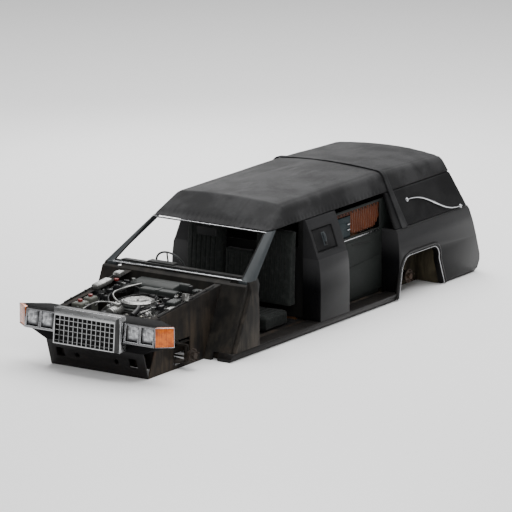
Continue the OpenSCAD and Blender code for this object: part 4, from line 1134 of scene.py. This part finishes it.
servo = [round_bar("servo_drum", at(-0.37, 1.255, 0.60), at(-0.37, 1.19, 0.60), 0.095, 48, 0.016),
         round_bar("servo_neck", at(-0.37, 1.19, 0.60), at(-0.37, 1.15, 0.60), 0.04, 32, 0.004),
         block("master_cylinder", at(-0.40, 1.02, 0.575), at(-0.34, 1.16, 0.625), 0.012, 3),
         block("fluid_tank", at(-0.41, 1.03, 0.6245), at(-0.33, 1.13, 0.668), 0.01, 3)]
fit(join(servo, "brake_servo"), satin_black)
battery = [block("battery_case", at(0.303, 0.228, 0.395), at(0.517, 0.392, 0.555), 0.005, 3),
           block("battery_lid", at(0.300, 0.225, 0.556), at(0.520, 0.395, 0.5755), 0.005, 3)]
for i in range(6):
    battery.append(round_bar(f"cell_cap_{i}", at(0.325 + 0.034 * i, 0.36, 0.5755),
                             at(0.325 + 0.034 * i, 0.36, 0.585), 0.012, 20, 0.002))
fit(join(battery, "battery_box"), black_case, instead_of="battery")
posts = [round_bar(f"post_{x}", at(x, 0.29, 0.5755), at(x, 0.29, 0.592), 0.009, 20, 0.001)
         for x in (0.35, 0.47)]
posts += [block(f"post_clamp_{x}", at(x - 0.018, 0.275, 0.578), at(x + 0.018, 0.305, 0.588), 0.003)
          for x in (0.35, 0.47)]
fit(join(posts, "battery_posts"), zinc)
cables = [pipe("battery_cable_a",
               [at(0.47, 0.285, 0.585), at(0.53, 0.27, 0.60), at(0.575, 0.30, 0.628),
                at(0.58, 0.40, 0.642)], 0.007, 12),
          pipe("battery_cable_b", [at(0.35, 0.285, 0.585), at(0.31, 0.27, 0.592), at(0.285, 0.35, 0.53),
                                   at(0.26, 0.45, 0.44), at(0.22, 0.52, 0.40)], 0.007, 12)]
fit(join(cables, "battery_cables"), hose_rubber)

# %% [markdown]
# Between the big pieces every bay is filled with small ones: a shroud round the fan, a compressor with its
# hard pipes, an air duct, fuse and relay boxes, valves, clips and brackets. The big ones are placed one by
# one;
# the smallest are scattered along the ledges with a fixed seed.

# %% Small fittings of the bay
shroud = [block("shroud_top", at(-0.335, 0.216, 0.520), at(0.335, 0.300, 0.560), 0.012, 3),
          block("shroud_left", at(0.255, 0.216, 0.40), at(0.285, 0.300, 0.525), 0.006),
          block("shroud_right", at(-0.335, 0.216, 0.25), at(-0.305, 0.300, 0.525), 0.006)]
fit(join(shroud, "fan_shroud"), black_case)
compressor = [round_bar("compressor", at(-0.10, 0.385, 0.545), at(-0.10, 0.56, 0.545), 0.056, 40, 0.01),
              round_bar("compressor_clutch", at(-0.10, 0.355, 0.545), at(-0.10, 0.384, 0.545), 0.052, 40,
                        0.006),
              block("compressor_valve", at(-0.135, 0.47, 0.598), at(-0.065, 0.53, 0.625), 0.008, 3)]
for i in range(4):
    compressor.append(round_bar(f"compressor_rib_{i}", at(-0.10, 0.41 + 0.03 * i, 0.545),
                                at(-0.10, 0.418 + 0.03 * i, 0.545), 0.0605, 40, 0.002))
fit(join(compressor, "cooling_compressor"), bare_alloy)
duct = [block("duct", at(-0.20, 1.04, 0.60), at(0.26, 1.15, 0.672), 0.018, 4),
        block("duct_flange", at(0.02, 1.03, 0.594), at(0.05, 1.16, 0.679), 0.004),
        block("fuse_box", at(0.40, 1.16, 0.62), at(0.56, 1.25, 0.70), 0.010, 3),
        block("wiper_motor", at(0.22, 1.18, 0.66), at(0.34, 1.25, 0.74), 0.014, 3),
        block("ignition_box", at(0.45, 0.60, 0.655), at(0.56, 0.74, 0.700), 0.010, 3, 5)]
fit(join(duct, "ducts_and_boxes"), grey_plastic)
hard = [pipe("cooler_pipe_a", [at(-0.10, 0.50, 0.62), at(-0.24, 0.46, 0.640), at(-0.34, 0.36, 0.62),
                               at(-0.36, 0.23, 0.58)], 0.009, 12),
        pipe("cooler_pipe_b", [at(-0.08, 0.53, 0.62), at(-0.30, 0.62, 0.665), at(-0.33, 0.95, 0.675),
                               at(-0.25, 1.20, 0.68)], 0.010, 12),
        pipe("brake_pipe_a", [at(-0.36, 1.04, 0.60), at(-0.46, 0.98, 0.59), at(-0.565, 0.80, 0.62),
                              at(-0.57, 0.40, 0.60)], 0.0035, 8),
        pipe("brake_pipe_b", [at(-0.38, 1.06, 0.60), at(-0.44, 1.20, 0.62), at(0.30, 1.235, 0.64),
                              at(0.56, 1.10, 0.66)], 0.0035, 8),
        pipe("fuel_rail_a", [at(0.135, 0.52, 0.585), at(0.15, 0.70, 0.60), at(0.15, 0.95, 0.60),
                             at(0.10, 1.03, 0.59)], 0.008, 12),
        pipe("fuel_rail_b", [at(-0.20, 0.56, 0.585), at(-0.205, 0.74, 0.595), at(-0.20, 0.98, 0.60),
                             at(-0.10, 1.03, 0.59)], 0.008, 12)]
fit(join(hard, "hard_pipes"), bare_alloy)
random.seed(11)
bright, dark = [], []
for i in range(44):
    side = random.choice((-1, 1))
    y = random.uniform(0.26, 1.22)
    x = side * random.uniform(0.33, 0.58)
    z = ledge(y) - random.uniform(0.02, 0.07)
    a, b, c = (random.uniform(0.012, 0.036) for _ in range(3))
    if i % 3:
        dark.append(block(f"small_box_{i}", at(x - a, y - b, z - 0.05), at(x + a, y + b, z + c), 0.005))
    else:
        bright.append(round_bar(f"small_valve_{i}", at(x, y, z - 0.05), at(x, y, z + c), a * 0.7, 20,
                                0.003))
fit(join(dark, "small_boxes"), black_case)
fit(join(bright, "small_valves"), dull_alloy)
wires = []
for i in range(14):
    side = (-1) ** i
    y0, y1 = random.uniform(0.30, 0.60), random.uniform(0.75, 1.20)
    xs = [side * random.uniform(0.26, 0.56) for _ in range(4)]
    zs = [random.uniform(0.56, 0.62) + 0.06 * k / 3 for k in range(4)]
    wires.append(pipe(f"wire_{i}", [at(xs[k], y0 + (y1 - y0) * k / 3, zs[k]) for k in range(4)],
                      random.choice((0.0035, 0.005, 0.008)), 8))
fit(join(wires, "bay_wires"), hose_rubber)

# %% [markdown]
# ## Chrome strips and mouldings
# A coachbuilt body hides its joints under bright strips. Each is a thin half-buried bar that follows the
# edge it covers; the wheel arch has a chrome bead and, just outside it, a raised painted lip.

# %% Screen strips
strips = [pipe("screen_base_strip",
               [at(-0.835, 1.478, 0.795), at(-0.4, 1.474, 0.797), at(0.4, 1.474, 0.797),
                at(0.835, 1.478, 0.795)], 0.0095, 16),
          pipe("header_strip", [at(-0.739, 2.081, 1.188), at(-0.3, 2.079, 1.190), at(0.3, 2.079, 1.190),
                                at(0.739, 2.081, 1.188)], 0.007, 16)]
fit(join(strips, "screen_strips"), chrome)
corner_pad = block("cowl_corners", at(0.795, 1.462, 0.7455), at(0.905, 1.600, 0.7935), 0.006)
fit(both_sides(corner_pad, "cowl_corners"), pillar_grey)
seal = [at(-0.822, 1.492, 0.812), at(0.822, 1.492, 0.812), at(0.722, 2.077, 1.186),
        at(-0.722, 2.077, 1.186)]
fit(rim_round("screen_seal", seal, 0.007), rubber)

# %% Wheel arches
ARCH_Y, ARCH_Z = 4.402, 0.47


def arch_line(grow, x):
    """Points round the rear wheel arch, grow metres outside its edge."""
    line = [(ARCH_Y - 0.001 - grow, 0.014)]
    for i in range(9):
        a = math.radians(168 - 78 * i / 8)
        line.append((ARCH_Y + 0.238 + (0.18 + grow) * math.cos(a),
                     ARCH_Z - 0.18 + (0.18 + grow) * math.sin(a)))
    for i in range(9):
        a = math.radians(90 - 107 * i / 8)
        line.append((ARCH_Y + 0.708 + (0.12 + grow) * math.cos(a),
                     ARCH_Z - 0.12 + (0.12 + grow) * math.sin(a)))
    line.append((ARCH_Y + 0.946 + grow, 0.014))
    return [at(x, y, z) for y, z in line]


fit(both_sides(pipe("arch_beads", arch_line(0.006, 0.9755), 0.0065, 12), "arch_beads"), silver_trim)
fit(both_sides(pipe("arch_lips", arch_line(0.040, 0.962), 0.0225, 20), "arch_lips"), gloss_black)

# %% Belt strips
belt = [at(0.9335, 4.41, 0.778), at(0.9335, 5.0, 0.778), at(0.9335, 5.86, 0.778)]
fit(both_sides(pipe("belt_strips", belt, 0.0055, 10), "belt_strips"), rubber)

# %% [markdown]
# The landau bar is the one ornament: an S of bright plate, thick in the middle and thin at its ends, held
# off the vinyl by a round rosette at each end. It lies in the leaning plane of the cabin side, so a small
# function turns places on that plane into places on the car.

# %% Landau bars
LEAN = math.radians(20.22)


def on_side(out, y, up):
    """A point out from the leaning cabin side, y along the car and up the slope."""
    return at(0.93 + out * math.cos(LEAN) - up * math.sin(LEAN), y,
              0.79 + up * math.cos(LEAN) + out * math.sin(LEAN))


steps = [i / 30 for i in range(31)]
curve = [on_side(0.017, 4.75 + 1.03 * s, 0.285 - 0.265 * s + 0.042 * math.sin(2 * math.pi * s))
         for s in steps]
thick = [0.55 + 0.75 * math.sin(math.pi * s) + 0.5 * math.exp(-((s - 0.5) / 0.05) ** 2) for s in steps]
bars = [pipe("landau_bars", curve, 0.0085, 16, radii=thick)]
for s in (0.02, 0.98):
    y, up = 4.75 + 1.03 * s, 0.285 - 0.265 * s + 0.042 * math.sin(2 * math.pi * s)
    bars.append(round_bar(f"rosette_{s}", on_side(0.0005, y, up), on_side(0.009, y, up), 0.026, 40, 0.003))
    bars.append(round_bar(f"rosette_dome_{s}", on_side(0.009, y, up), on_side(0.021, y, up), 0.017, 32,
                          0.005, 0.013))
fit(both_sides(join(bars, "landau_bars_plated"), "landau_bars_plated"), chrome, instead_of="landau_bars")

# %% Coach lamps
def side_outline(y0, y1, up0, up1, out):
    return [on_side(out, y0, up0), on_side(out, y1, up0), on_side(out, y1, up1), on_side(out, y0, up1)]


away = on_side(0.012, 3, 0.1) - on_side(0, 3, 0.1)
panel = plate("coach_lamp_plates", side_outline(2.862, 3.226, 0.066, 0.300, -0.0245), away * 1.35, 0.006, 3)
fit(both_sides(panel, "coach_lamp_plates"), landau_vinyl, instead_of="coach_lamps")
lantern = [plate("lantern_base", side_outline(3.005, 3.075, 0.105, 0.255, -0.010), away * 0.6, 0.003),
           pipe("lantern_body", [on_side(0.001, 3.04, 0.150), on_side(0.006, 3.04, 0.175),
                                 on_side(0.006, 3.04, 0.225), on_side(0.001, 3.04, 0.242)], 0.019, 24,
                radii=[0.7, 1.0, 1.0, 0.6])]
fit(both_sides(join(lantern, "coach_lanterns"), "coach_lanterns"), pillar_grey)
socket = pipe("coach_sockets", [on_side(0.000, 3.04, 0.112), on_side(0.004, 3.04, 0.124),
                                on_side(0.000, 3.04, 0.138)], 0.015, 20)
fit(both_sides(socket, "coach_sockets"), rubber)
frame_line = side_outline(2.842, 3.238, 0.047, 0.313, -0.001)
fit(both_sides(rim_round("coach_lamp_frames", frame_line, 0.0035), "coach_lamp_frames"), rubber)

# %% [markdown]
# ## The rear doorway
# With its door gone, the doorway shows the inner wall: a trim board with a window, a pleated satin drape
# drawn across the window and tied towards the rear, a scalloped pelmet along its top, and a teal panel
# with two small handles at its front. The drape is a sheet folded into even pleats, so it is modelled as
# a fine grid whose points follow a wave; each pleat deepens towards the hem.

# %% Drapes
def pleated(name, y0, y1, z_low, z_high, pleat, depth, x_mid, bottom=None):
    """A pleated sheet in the YZ plane, and its flat size before pleating."""
    count = int((y1 - y0) / pleat * 12)
    bpy.ops.object.select_all(action="DESELECT")
    bpy.ops.mesh.primitive_grid_add(x_subdivisions=count, y_subdivisions=18, size=2)
    sheet = settle(bpy.context.object, name)
    u, v = (coordinates(sheet)[:, 0] + 1) / 2, (coordinates(sheet)[:, 1] + 1) / 2
    y = y0 + (y1 - y0) * u
    low = z_low if bottom is None else z_low + bottom(u)
    z = low + (z_high - low) * v
    folds = np.sin(2 * math.pi * (y + 0.006 * np.sin(9 * v + 14 * u)) / pleat)
    x = x_mid + depth * (0.55 + 0.45 * (1 - v)) * folds
    move_points(sheet, np.stack([x, y - MIDDLE, z], 1))
    flat = sum(math.hypot((y1 - y0) / 4000,
                          depth * 0.78 * 2 * math.pi / pleat * math.cos(2 * math.pi * (y0
        + (y1 - y0) * i / 4000) / pleat) * (y1 - y0) / 4000) for i in range(4000))
    apply_modifier(sheet, "SOLIDIFY", thickness=0.0012, offset=0)
    tidy_mesh(sheet, 0.0000001)
    only(sheet)
    bpy.ops.object.shade_smooth()
    return sheet, (round(flat, 3), round(z_high - z_low, 3))


def swag(u):
    return 0.10 * np.clip((u - 0.80) / 0.2, 0, 1) ** 1.6 + 0.03 * np.clip((0.10 - u) / 0.1, 0, 1)


for side, label in ((1, "left"), (-1, "right")):
    drape, flat = pleated(f"drape_{label}", 3.79, 4.372, 0.835, 1.118, 0.046, 0.0058, 0.7137, swag)
    pelmet, pelmet_flat = pleated(f"pelmet_{label}", 3.455, 4.372, 1.052, 1.121, 0.034, 0.0022, 0.7045)
    if side < 0:
        for piece in (drape, pelmet):
            move_points(piece, coordinates(piece) * np.array([-1, 1, 1], np.float32))
            tidy_mesh(piece, 0.0000001)
    fit(drape, drape_satin, instead_of="drapes" if side > 0 else ())
    fit(pelmet, pelmet_satin)
    print(label, "drape cut", flat, "pelmet cut", pelmet_flat)
tooth = block("pelmet_studs", at(0.7215, 3.478, 1.074), at(0.7275, 3.500, 1.092), 0.003)
teeth = copies(tooth, [(0, 0.068 * i, 0) for i in range(1, 13)], "pelmet_studs")
fit(both_sides(teeth, "pelmet_studs"), rubber)

# %% Doorway panels
panel = [block("front_panel", at(0.708, 3.455, 0.802), at(0.7205, 3.785, 1.048), 0.004),
         block("panel_lip", at(0.7205, 3.47, 0.83), at(0.7245, 3.70, 0.99), 0.003)]
fit(both_sides(join(panel, "teal_panels"), "teal_panels"), teal_panel)
grip = block("small_handles", at(0.7245, 3.715, 0.955), at(0.7345, 3.765, 0.972), 0.004, 3)
fit(both_sides(copies(grip, [(0, 0, -0.062)], "small_handles"), "small_handles"), silver_trim)
sill = block("window_sill_strips", at(0.7424, 3.385, 0.786), at(0.7500, 4.345, 0.800), 0.003, 3)
fit(both_sides(sill, "window_sill_strips"), silver_trim)
lower = [plate("lower_pad", [at(0.7424, 3.42, 0.105), at(0.7424, 4.33, 0.125), at(0.7424, 4.33, 0.500),
                             at(0.7424, 3.42, 0.455)], (0.008, 0, 0), 0.005, 3),
         plate("upper_pad", [at(0.7424, 3.42, 0.480), at(0.7424, 4.33, 0.525), at(0.7424, 4.33, 0.755),
                             at(0.7424, 3.42, 0.755)], (0.006, 0, 0), 0.004, 3)]
fit(both_sides(join(lower, "door_recess_pads"), "door_recess_pads"), trim_cover)
pulls = [pipe("pull_a", [at(0.7500, 3.78, 0.722), at(0.754, 3.90, 0.712), at(0.754, 4.05, 0.700),
                         at(0.7500, 4.16, 0.692)], 0.0055, 12),
         pipe("pull_b", [at(0.7500, 3.45, 0.640), at(0.754, 3.54, 0.634), at(0.7500, 3.63, 0.628)], 0.0055,
              12)]
fit(both_sides(join(pulls, "pull_straps"), "pull_straps"), rubber)

# %% [markdown]
# ## Seats
# The bench has two tall backs with a lower middle, all stuffed. Each pad starts as a plain block a little
# smaller than its place, is meshed evenly, and is then blown up for a moment by the cloth simulation, so
# its faces crown and its sides pull in between the corners. The sewn channels come last, because an
# even mesh forgets narrow seams.

# %% Stuffed pads
def stuff(piece, voxel=0.012, cap=0.011):
    """Swell a block into a stuffed pad; no point moves further than cap."""
    apply_modifier(piece, "REMESH", mode="VOXEL", voxel_size=voxel)
    rest = coordinates(piece).copy()
    only(piece)
    puff = piece.modifiers.new("Puff", "CLOTH")
    puff.settings.use_pressure = True
    puff.settings.uniform_pressure_force = 4
    puff.settings.effector_weights.gravity = 0
    puff.settings.quality = 4
    puff.point_cache.frame_start, puff.point_cache.frame_end = 1, 20
    for number in range(1, 21):
        bpy.context.scene.frame_set(number)
    bpy.ops.object.modifier_apply(modifier=puff.name)
    bpy.context.scene.frame_set(1)
    step = coordinates(piece) - rest
    length = np.linalg.norm(step, axis=1, keepdims=True)
    move_points(piece, rest + step * np.minimum(1, cap / np.maximum(length, 1e-9)))
    apply_modifier(piece, "SUBSURF", levels=1, render_levels=1)
    only(piece)
    bpy.ops.object.shade_smooth()
    return piece


def sew(piece, direction, front, pitch, border, depth=0.008, width=0.0065):
    """Press sewn channels into the faces that look along front, leaving a plain border."""
    points, normals = coordinates(piece), point_normals(piece)
    across = points[:, direction]
    low, high = across.min() + border, across.max() - border
    count = max(2, round((high - low) / pitch))
    place = (across - low) / (high - low) * count
    near = np.abs(place - np.round(place)) * (high - low) / count
    inside = (across > low - width) & (across < high + width)
    other = points[:, 2 if abs(front[2]) < 0.5 else 1]
    margin = np.clip(np.minimum(other - other.min(), other.max() - other) / 0.05 - 0.6, 0, 1)
    looks = np.clip(normals @ np.array(front) * 2 - 0.6, 0, 1)
    press = np.exp(-(near / width) ** 2) * inside * margin * looks * depth
    return move_points(piece, points - np.array(front) * press[:, None])


BACK = (0.0, -0.92, 0.39)
tall = [at(0.208, 2.622, 0.246), at(0.208, 2.662, 0.80), at(0.208, 2.688, 1.062), at(0.208, 2.706, 1.078),
        at(0.208, 2.768, 1.078),
        at(0.208, 2.762, 0.80), at(0.208, 2.738, 0.246)]
low_back = [at(-0.180, 2.622, 0.246), at(-0.180, 2.658, 0.795), at(-0.180, 2.674, 0.808),
            at(-0.180, 2.748, 0.808), at(-0.180, 2.738, 0.246)]
pads = []
for x0, label in ((0.208, "left"), (-0.690, "right")):
    outline = [Vector((x0, p.y, p.z)) for p in tall]
    back_pad = stuff(plate(f"tall_back_{label}", outline, (0.482, 0, 0), 0.014, 3))
    pads.append((sew(back_pad, 0, BACK, 0.062, 0.085), 0.75))
    seat_low = x0 - 0.040 if x0 > 0 else x0
    seat_pad = stuff(block(f"seat_cushion_{label}", Vector((seat_low, 2.152 - MIDDLE, 0.074)),
                           Vector((seat_low + 0.522, 2.604 - MIDDLE, 0.220)), 0.022, 3))
    pads.append((sew(seat_pad, 0, (0.0, 0.0, 1.0), 0.062, 0.085), 0.75))
middle_back = stuff(plate("middle_back", low_back, (0.360, 0, 0), 0.012, 3))
pads.append((sew(middle_back, 0, BACK, 0.072, 0.06), 0.7))
middle_seat = stuff(block("seat_cushion_middle", at(-0.147, 2.156, 0.2075), at(0.147, 2.60, 0.226), 0.006,
                          2), 0.007, 0.004)
pads.append((middle_seat, 0.5))
for i, (pad, fill) in enumerate(pads):
    fit(pad, seat_cloth, instead_of=("bench_cushion", "bench_backrest") if i == 0 else ())
print("pads:", len(pads), "faces:", sum(len(p.data.polygons) for p, _ in pads))

# %% [markdown]
# ## The driver's place
# Right-hand drive: wheel, column and dials are at -X. The wheel is modelled level and then turned into the
# column's slope.

# %% Steering wheel
WHEEL_CENTRE = at(-0.37, 1.902, 0.715)
TILT = math.radians(-65)


def on_column(piece):
    points = coordinates(piece).astype(float)
    y, z = points[:, 1].copy(), points[:, 2].copy()
    points[:, 1] = y * math.cos(TILT) - z * math.sin(TILT)
    points[:, 2] = y * math.sin(TILT) + z * math.cos(TILT)
    return move_points(piece, points + np.array(WHEEL_CENTRE))


bpy.ops.object.select_all(action="DESELECT")
bpy.ops.mesh.primitive_torus_add(major_radius=0.184, minor_radius=0.0108, major_segments=96,
                                 minor_segments=20)
rim = settle(bpy.context.object, "wheel_rim")
points = coordinates(rim).astype(float)
angle = np.arctan2(points[:, 1], points[:, 0])
inward = -points * np.array([1, 1, 0]) / 0.184
move_points(rim, points + inward * (0.0012 * np.cos(angle * 40))[:, None])
soften(rim, 0, angle=60)
wheel_parts = [rim, block("wheel_pad", upright(-0.062, -0.048, -0.052), upright(0.062, 0.040, -0.012),
                          0.016, 4),
               round_bar("wheel_boss", upright(0, 0, -0.060), upright(0, 0, -0.030), 0.042, 40, 0.005),
               round_bar("steering_shaft", upright(0, 0, -0.555), upright(0, 0, -0.055), 0.012, 24, 0.001)]
for degrees in (8, 172, 270):
    a = math.radians(degrees)
    spoke = pipe(f"spoke_{degrees}",
                 [upright(math.cos(a) * r, math.sin(a) * r, h) for r,
                  h in ((0.035, -0.034), (0.10, -0.024), (0.15, -0.010), (0.182, -0.002))], 0.0085, 16)
    wheel_parts.append(spoke)
fit(on_column(join(wheel_parts, "steering_wheel_rim")), wheel_grey, body="steering_wheel",
    instead_of="steering_wheel")

# %% Dials, vents and mirror
dash = [block("dial_hood", at(-0.55, 1.690, 0.742), at(-0.20, 1.800, 0.795), 0.016, 4),
        block("radio_stack", at(-0.13, 1.755, 0.575), at(0.13, 1.792, 0.690), 0.006, 3),
        block("glove_lid", at(0.26, 1.765, 0.580), at(0.68, 1.795, 0.680), 0.012, 3)]
for x in (-0.70, -0.05, 0.18, 0.72):
    slat = block(f"vent_{x}", at(x - 0.05, 1.772, 0.708), at(x + 0.05, 1.800, 0.713), 0.0015)
    dash.append(copies(slat, [(0, -0.003 * i, 0.011 * i) for i in range(1, 5)], f"vent_{x}"))
fit(join(dash, "dash_fittings"), dash_plastic)
dials = [round_bar(f"dial_{x}", at(x, 1.792, 0.725), at(x, 1.803, 0.724), r, 40, 0.003) for x,
         r in ((-0.45, 0.038), (-0.36, 0.045), (-0.27, 0.038))]
dials.append(block("lower_trim", at(-0.56, 1.782, 0.683), at(0.70, 1.794, 0.689), 0.002))
fit(join(dials, "dial_rings"), silver_trim)
mirror_low, mirror_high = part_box("rear_view_mirror")
fit(finished_copy("rear_view_mirror", "mirror_shell", 0.009, 3), dash_plastic,
    instead_of="rear_view_mirror")
glass = block("mirror_glass", (mirror_low.x + 0.01, mirror_high.y - 0.001, 1.070),
              (0.070, mirror_high.y + 0.001, 1.142), 0.001)
fit(glass, chrome)

# %% [markdown]
# ## The rear
# The rear door leans with the tail. Pieces on it are placed in its own plane, and they ride on the door's
# body so that they swing with it.

# %% Rear door
RAKE = math.radians(19.25)


def on_rear(x, out, up):
    """A point across, out from the rear door's plane and up its slope."""
    return at(x, 6.11 + out * math.cos(RAKE) - up * math.sin(RAKE),
              0.20 + out * math.sin(RAKE) + up * math.cos(RAKE))


DOOR_UP = (1.25 - 0.2) / math.cos(RAKE)
fit(finished_copy("rear_door", "rear_door_skin", 0.006, 3), gloss_black, body="rear_door",
    instead_of="rear_door")
window = [on_rear(-0.53, -0.0005, 0.70), on_rear(0.53, -0.0005, 0.70),
          on_rear(0.53, -0.0005, DOOR_UP - 0.09), on_rear(-0.53, -0.0005, DOOR_UP - 0.09)]
fit(rim_round("rear_window_seal", window, 0.009), rubber, body="rear_door")
inner = [on_rear(p, -0.048, q) for p,
         q in ((-0.53, 0.70), (0.53, 0.70), (0.53, DOOR_UP - 0.09), (-0.53, DOOR_UP - 0.09))]
fit(rim_round("rear_window_inner_rim", inner, 0.0075), silver_trim, body="rear_door")
door_out = on_rear(0, 1, 0) - on_rear(0, 0, 0)
handle = [pipe("door_handle", [on_rear(0.42, 0.0, 0.60), on_rear(0.44, 0.026, 0.60),
                               on_rear(0.54, 0.028, 0.60), on_rear(0.58, 0.0, 0.60)], 0.008, 16),
          round_bar("lock_barrel", on_rear(0.50, -0.002, 0.545), on_rear(0.50, 0.006, 0.545), 0.014, 28,
                    0.002)]
for up in ((0.283 - 0.2) / math.cos(RAKE) + 0.12, DOOR_UP - 0.16):
    for z in (up - 0.001, up + 0.0605):
        handle.append(round_bar(f"hinge_cap_{z}", on_rear(-0.652, 0.0095, z),
                                on_rear(-0.652, 0.0095, z + 0.004), 0.0092, 24, 0.001))
fit(join(handle, "door_handle_and_caps"), chrome, body="rear_door")
crease = pipe("door_swage", [on_rear(-0.60, -0.003, 0.42), on_rear(0, -0.003, 0.42),
                             on_rear(0.60, -0.003, 0.42)], 0.0095, 16)
fit(crease, gloss_black, body="rear_door")
board = plate("rear_door_board",
              [on_rear(-0.56, -0.0482, 0.13), on_rear(0.56, -0.0482, 0.13), on_rear(0.56, -0.0482, 0.66),
               on_rear(-0.56, -0.0482, 0.66)], door_out * -0.005, 0.003)
fit(board, trim_cover, body="rear_door")

# %% Tail lamps
fit(finished_copy("tail_lamps", "tail_lenses", 0.004, 3), red_glass, instead_of="tail_lamps")
rims = [rim_round("tail_rim", [on_rear(0.763, -0.001, 0.091), on_rear(0.904, -0.001, 0.091),
                               on_rear(0.904, -0.001, 0.519), on_rear(0.763, -0.001, 0.519)], 0.005)]
for up in (0.20, 0.31, 0.42):
    rims.append(pipe(f"tail_bar_{up}", [on_rear(0.765, 0.0, up), on_rear(0.902, 0.0, up)], 0.0032, 10,
                     smooth=False))
fit(both_sides(join(rims, "tail_lamp_rims"), "tail_lamp_rims"), chrome)

# %% [markdown]
# The load deck is varnished board with polished rub strips for the load to slide on, pegs to hold it, and
# rollers at the door.

# %% Load deck
fit(finished_copy("load_deck", "deck_boards", 0.002), deck_wood, instead_of="load_deck")
deck_low, deck_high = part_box("load_deck")
strip = block("rub_strips", (-0.475, deck_low.y + 0.04, 0.3652), (-0.447, deck_high.y - 0.06, 0.3725),
              0.002)
strips = [copies(strip, [(dx, 0, 0) for dx in (0.26, 0.66, 0.922)], "rub_strips")]
for i in range(4):
    y = 4.35 + 0.30 * i
    strips.append(round_bar(f"peg_{i}", at(0.11, y, 0.3652), at(0.11, y, 0.372), 0.03, 28, 0.002))
    strips.append(round_bar(f"peg_pin_{i}", at(0.11, y, 0.372), at(0.11, y, 0.415), 0.009, 20, 0.003))
for i in range(5):
    strips.append(round_bar(f"roller_{i}", at(-0.30, 5.55 + 0.07 * i, 0.381),
                            at(0.06, 5.55 + 0.07 * i, 0.381), 0.0125, 24, 0.002))
    for x in (-0.305, 0.055):
        strips.append(block(f"roller_end_{i}_{x}", at(x, 5.535 + 0.07 * i, 0.3652),
                            at(x + 0.01, 5.565 + 0.07 * i, 0.392), 0.003))
fit(join(strips, "deck_hardware"), chrome)
